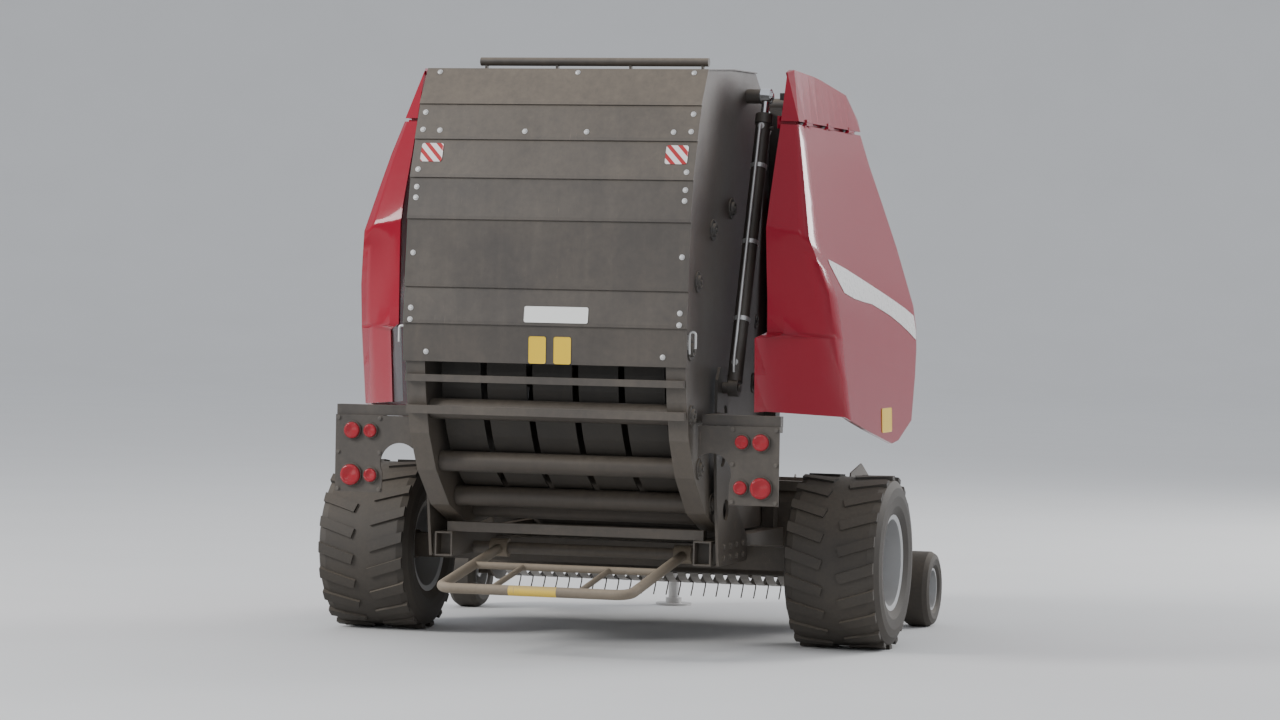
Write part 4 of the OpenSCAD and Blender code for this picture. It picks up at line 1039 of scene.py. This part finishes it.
class BALER_OT_chassis(bpy.types.Operator):
    """Finishes the frame, kicker, chamber, drawbar, drive and stand, and fits bolts and bearings"""

    bl_idname = "baler.chassis"
    bl_label = "Chassis"

    def execute(self, context):
        finish_nodes("chassis_paint", "main_frame", "rear_outriggers", "top_frame", "drawbar", "jack_tube",
                     "light_boards")
        finish_nodes("kicker_paint", "bale_kicker")
        finish_nodes("gate_paint", "chamber_walls", "rotor_housing", "wrap_housing")
        # The chamber's rollers take the steel painted near black as painted shade
        finish_nodes("roller_steel", "chamber_rollers")
        finish_nodes("zinc_plate", "jack_leg")
        finish_nodes("belt_rubber", "front_belts")
        finish_nodes("knitted_net", "net_roll")
        finish_nodes("cast_iron", "gearbox")
        finish_nodes("oiled_steel", "drive_sprockets", "drive_chain", "pto_shaft")
        finish_nodes("guard_plastic", "pto_guard")
        for side, way in SIDES:
            ys, inward = [way * BESIDE], (0, -way, 0)
            xs, zs = OUTRIGGER_BOLTS
            bolted(f"outrigger_bolts_{side}", "rear_outriggers", "frame", xs, ys, zs, inward,
                   "cast_iron", "cast")
            bearings(f"front_bearings_{side}", "chamber_walls", FRONT_ROLLERS, [way], "chassis")
            xs, zs = HITCH_BOLTS
            bolted(f"hitch_bolts_{side}", "drawbar", "frame", xs, ys, zs, inward)
        bolted("gearbox_bolts", "gearbox", "frame", [AHEAD], *GEARBOX_BOLTS, BACK)
        bolted("flange_bolts", "drawbar", "frame", [AHEAD], *FLANGE_BOLTS, BACK)
        return {"FINISHED"}


class BALER_OT_wheels(bpy.types.Operator):
    """Finishes the wheels and fits their nuts and hub caps"""

    bl_idname = "baler.wheels"
    bl_label = "Wheels"

    def execute(self, context):
        finish_nodes("tyre_rubber", "tyre_left", "tyre_right", "gauge_tyre_left", "gauge_tyre_right")
        finish_nodes("rim_silver", "rim_left", "rim_right", "gauge_rim_left", "gauge_rim_right")
        for side, way in SIDES:
            outward = Matrix.Rotation(-way * math.pi / 2, 4, "X")
            wheel, places = f"wheel_{side}", []
            for k in range(NUTS):
                turn = 2 * math.pi * (k + 0.5) / NUTS
                x, z = NUT_CIRCLE * math.cos(turn), AXLE_Z + NUT_CIRCLE * math.sin(turn)
                places.append(Matrix.Translation(at(x, way * (WHEEL_Y + NUT_SEAT), z)) @ outward)
            scattered(hex_nut(looks().nut_radius), places, f"wheel_nuts_{side}", wheel, "zinc_plate")
            cap = turned(f"hub_cap_{side}", 32, CAP_PROFILE)
            cap.data.transform(Matrix.Translation(at(0, way * (WHEEL_Y + CAP_SEAT), AXLE_Z)) @ outward)
            dressed(settled(cap, SMOOTH_ROUND), wheel, "guard_plastic")
        return {"FINISHED"}


class BALER_OT_pickup(bpy.types.Operator):
    """Finishes the pickup, its reel and the rotor"""

    bl_idname = "baler.pickup"
    bl_label = "Pickup"

    def execute(self, context):
        finish_nodes("chassis_paint", "pickup_frame", "windguard")
        finish_nodes("worn_band", "pickup_bands")
        finish_nodes("oiled_steel", "pickup_reel", "pickup_chain", "feed_rotor", "feed_augers")
        return {"FINISHED"}


class BALER_OT_rams(bpy.types.Operator):
    """Finishes the gate rams and fits their pipes, clamps and port fittings"""

    bl_idname = "baler.rams"
    bl_label = "Rams"

    def execute(self, context):
        finish_nodes("chassis_paint", "ram_barrel_left", "ram_barrel_right")
        finish_nodes("hard_chrome", "ram_rod_left", "ram_rod_right")
        for side, way in SIDES:
            body = f"barrel_{side}"
            path = [on_ram(way, *spot) for spot in RAM_PIPE]
            dressed(pipe(f"ram_pipe_{side}", path, RAM_PIPE_RADIUS), body, "zinc_plate")
            clamps = []
            for k, along in enumerate(RAM_CLAMPS):
                strap = band(f"ram_clamp_{side}_{k}", 32, *CLAMP)
                strap.data.transform(seat(on_ram(way, along), RAM_ALONG, (0, 1, 0)))
                clamps.append(settled(strap))
            dressed(joined(clamps, f"ram_clamps_{side}"), body, "zinc_plate")
            seats = [seat(on_ram(way, *spot), RAM_ACROSS, (0, 1, 0)) for spot in RAM_PORTS]
            ports = [copied(BOLT["frame"], "port", place) for place in seats]
            dressed(joined(ports, f"ram_ports_{side}"), body, "zinc_plate")
        return {"FINISHED"}


class BALER_OT_lamps(bpy.types.Operator):
    """Models the lamps with their bezels and fits the bolts of their boards"""

    bl_idname = "baler.lamps"
    bl_label = "Lamps"

    def execute(self, context):
        rings, lenses = [], []
        past, deep, wall = BEZEL
        rearward = Matrix.Rotation(-math.pi / 2, 4, "Y")
        for i, (way, lamp) in enumerate((way, lamp) for way in (-1, 1) for lamp in LAMPS):
            reach, z, radius, depth = lamp
            place = Matrix.Translation(at(BOARD_FACE, way * reach, z)) @ rearward
            lens = turned(f"lens_{i}", 40, [(radius * wide, depth * high) for wide, high in LENS_PROFILE])
            lens.data.transform(place)
            lenses.append(settled(lens, SMOOTH_ROUND))
            ring = bevelled(band(f"bezel_{i}", 32, radius + past, deep, wall), 0.0015)
            ring.data.transform(place @ Matrix.Translation((0, 0, deep / 2)))
            rings.append(settled(ring))
        lamps = dressed(joined(lenses, "lamp_lenses"), "chassis", "lamp_lens")
        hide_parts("lamps")
        dressed(joined(rings, "lamp_bezels"), "chassis", "guard_plastic")
        bolted("lamp_board_bolts", "light_boards", "light", [BEHIND], *BOARD_BOLTS, FORWARD,
               "cast_iron", "cast")
        return {"FINISHED"}


class BALER_OT_kicker(bpy.types.Operator):
    """Fits the bare yellow band on the kicker's rear tube"""

    bl_idname = "baler.kicker"
    bl_label = "Kicker"

    def execute(self, context):
        radius, length, wall, x, z = BAND
        ring = band("kicker_band", 64, radius, length, wall)
        ring.data.transform(Matrix.Translation(at(x, 0, z)) @ Matrix.Rotation(math.pi / 2, 4, "X"))
        dressed(settled(ring), "kicker", "band_yellow")
        return {"FINISHED"}


class BALER_PT_panel(bpy.types.Panel):
    """Lists the steps that dress the baler"""

    bl_idname = "BALER_PT_panel"
    bl_label = "Round baler"
    bl_space_type = "VIEW_3D"
    bl_region_type = "UI"
    bl_category = "Baler"

    def draw(self, context):
        layout = self.layout
        for name in BalerLooks.__annotations__:
            layout.prop(context.scene.baler_looks, name)
        for step in STEPS:
            layout.operator(step.bl_idname)


STEPS = (
    BALER_OT_stage, BALER_OT_chassis, BALER_OT_gate, BALER_OT_covers, BALER_OT_wheels,
    BALER_OT_pickup, BALER_OT_rams, BALER_OT_lamps, BALER_OT_kicker,
)
CLASSES = (BalerLooks,) + STEPS + (BALER_PT_panel,)


def register():
    for kind in CLASSES:
        bpy.utils.register_class(kind)
    bpy.types.Scene.baler_looks = bpy.props.PointerProperty(type=BalerLooks)


def unregister():
    del bpy.types.Scene.baler_looks
    for kind in reversed(CLASSES):
        bpy.utils.unregister_class(kind)


def main():
    register()
    make_finishes()
    make_bolts()
    bpy.ops.baler.stage()
    bpy.ops.baler.chassis()
    bpy.ops.baler.gate()
    bpy.ops.baler.covers()
    bpy.ops.baler.wheels()
    bpy.ops.baler.pickup()
    bpy.ops.baler.rams()
    bpy.ops.baler.lamps()
    bpy.ops.baler.kicker()
    drop_bolts()


if __name__ == "__main__":
    main()
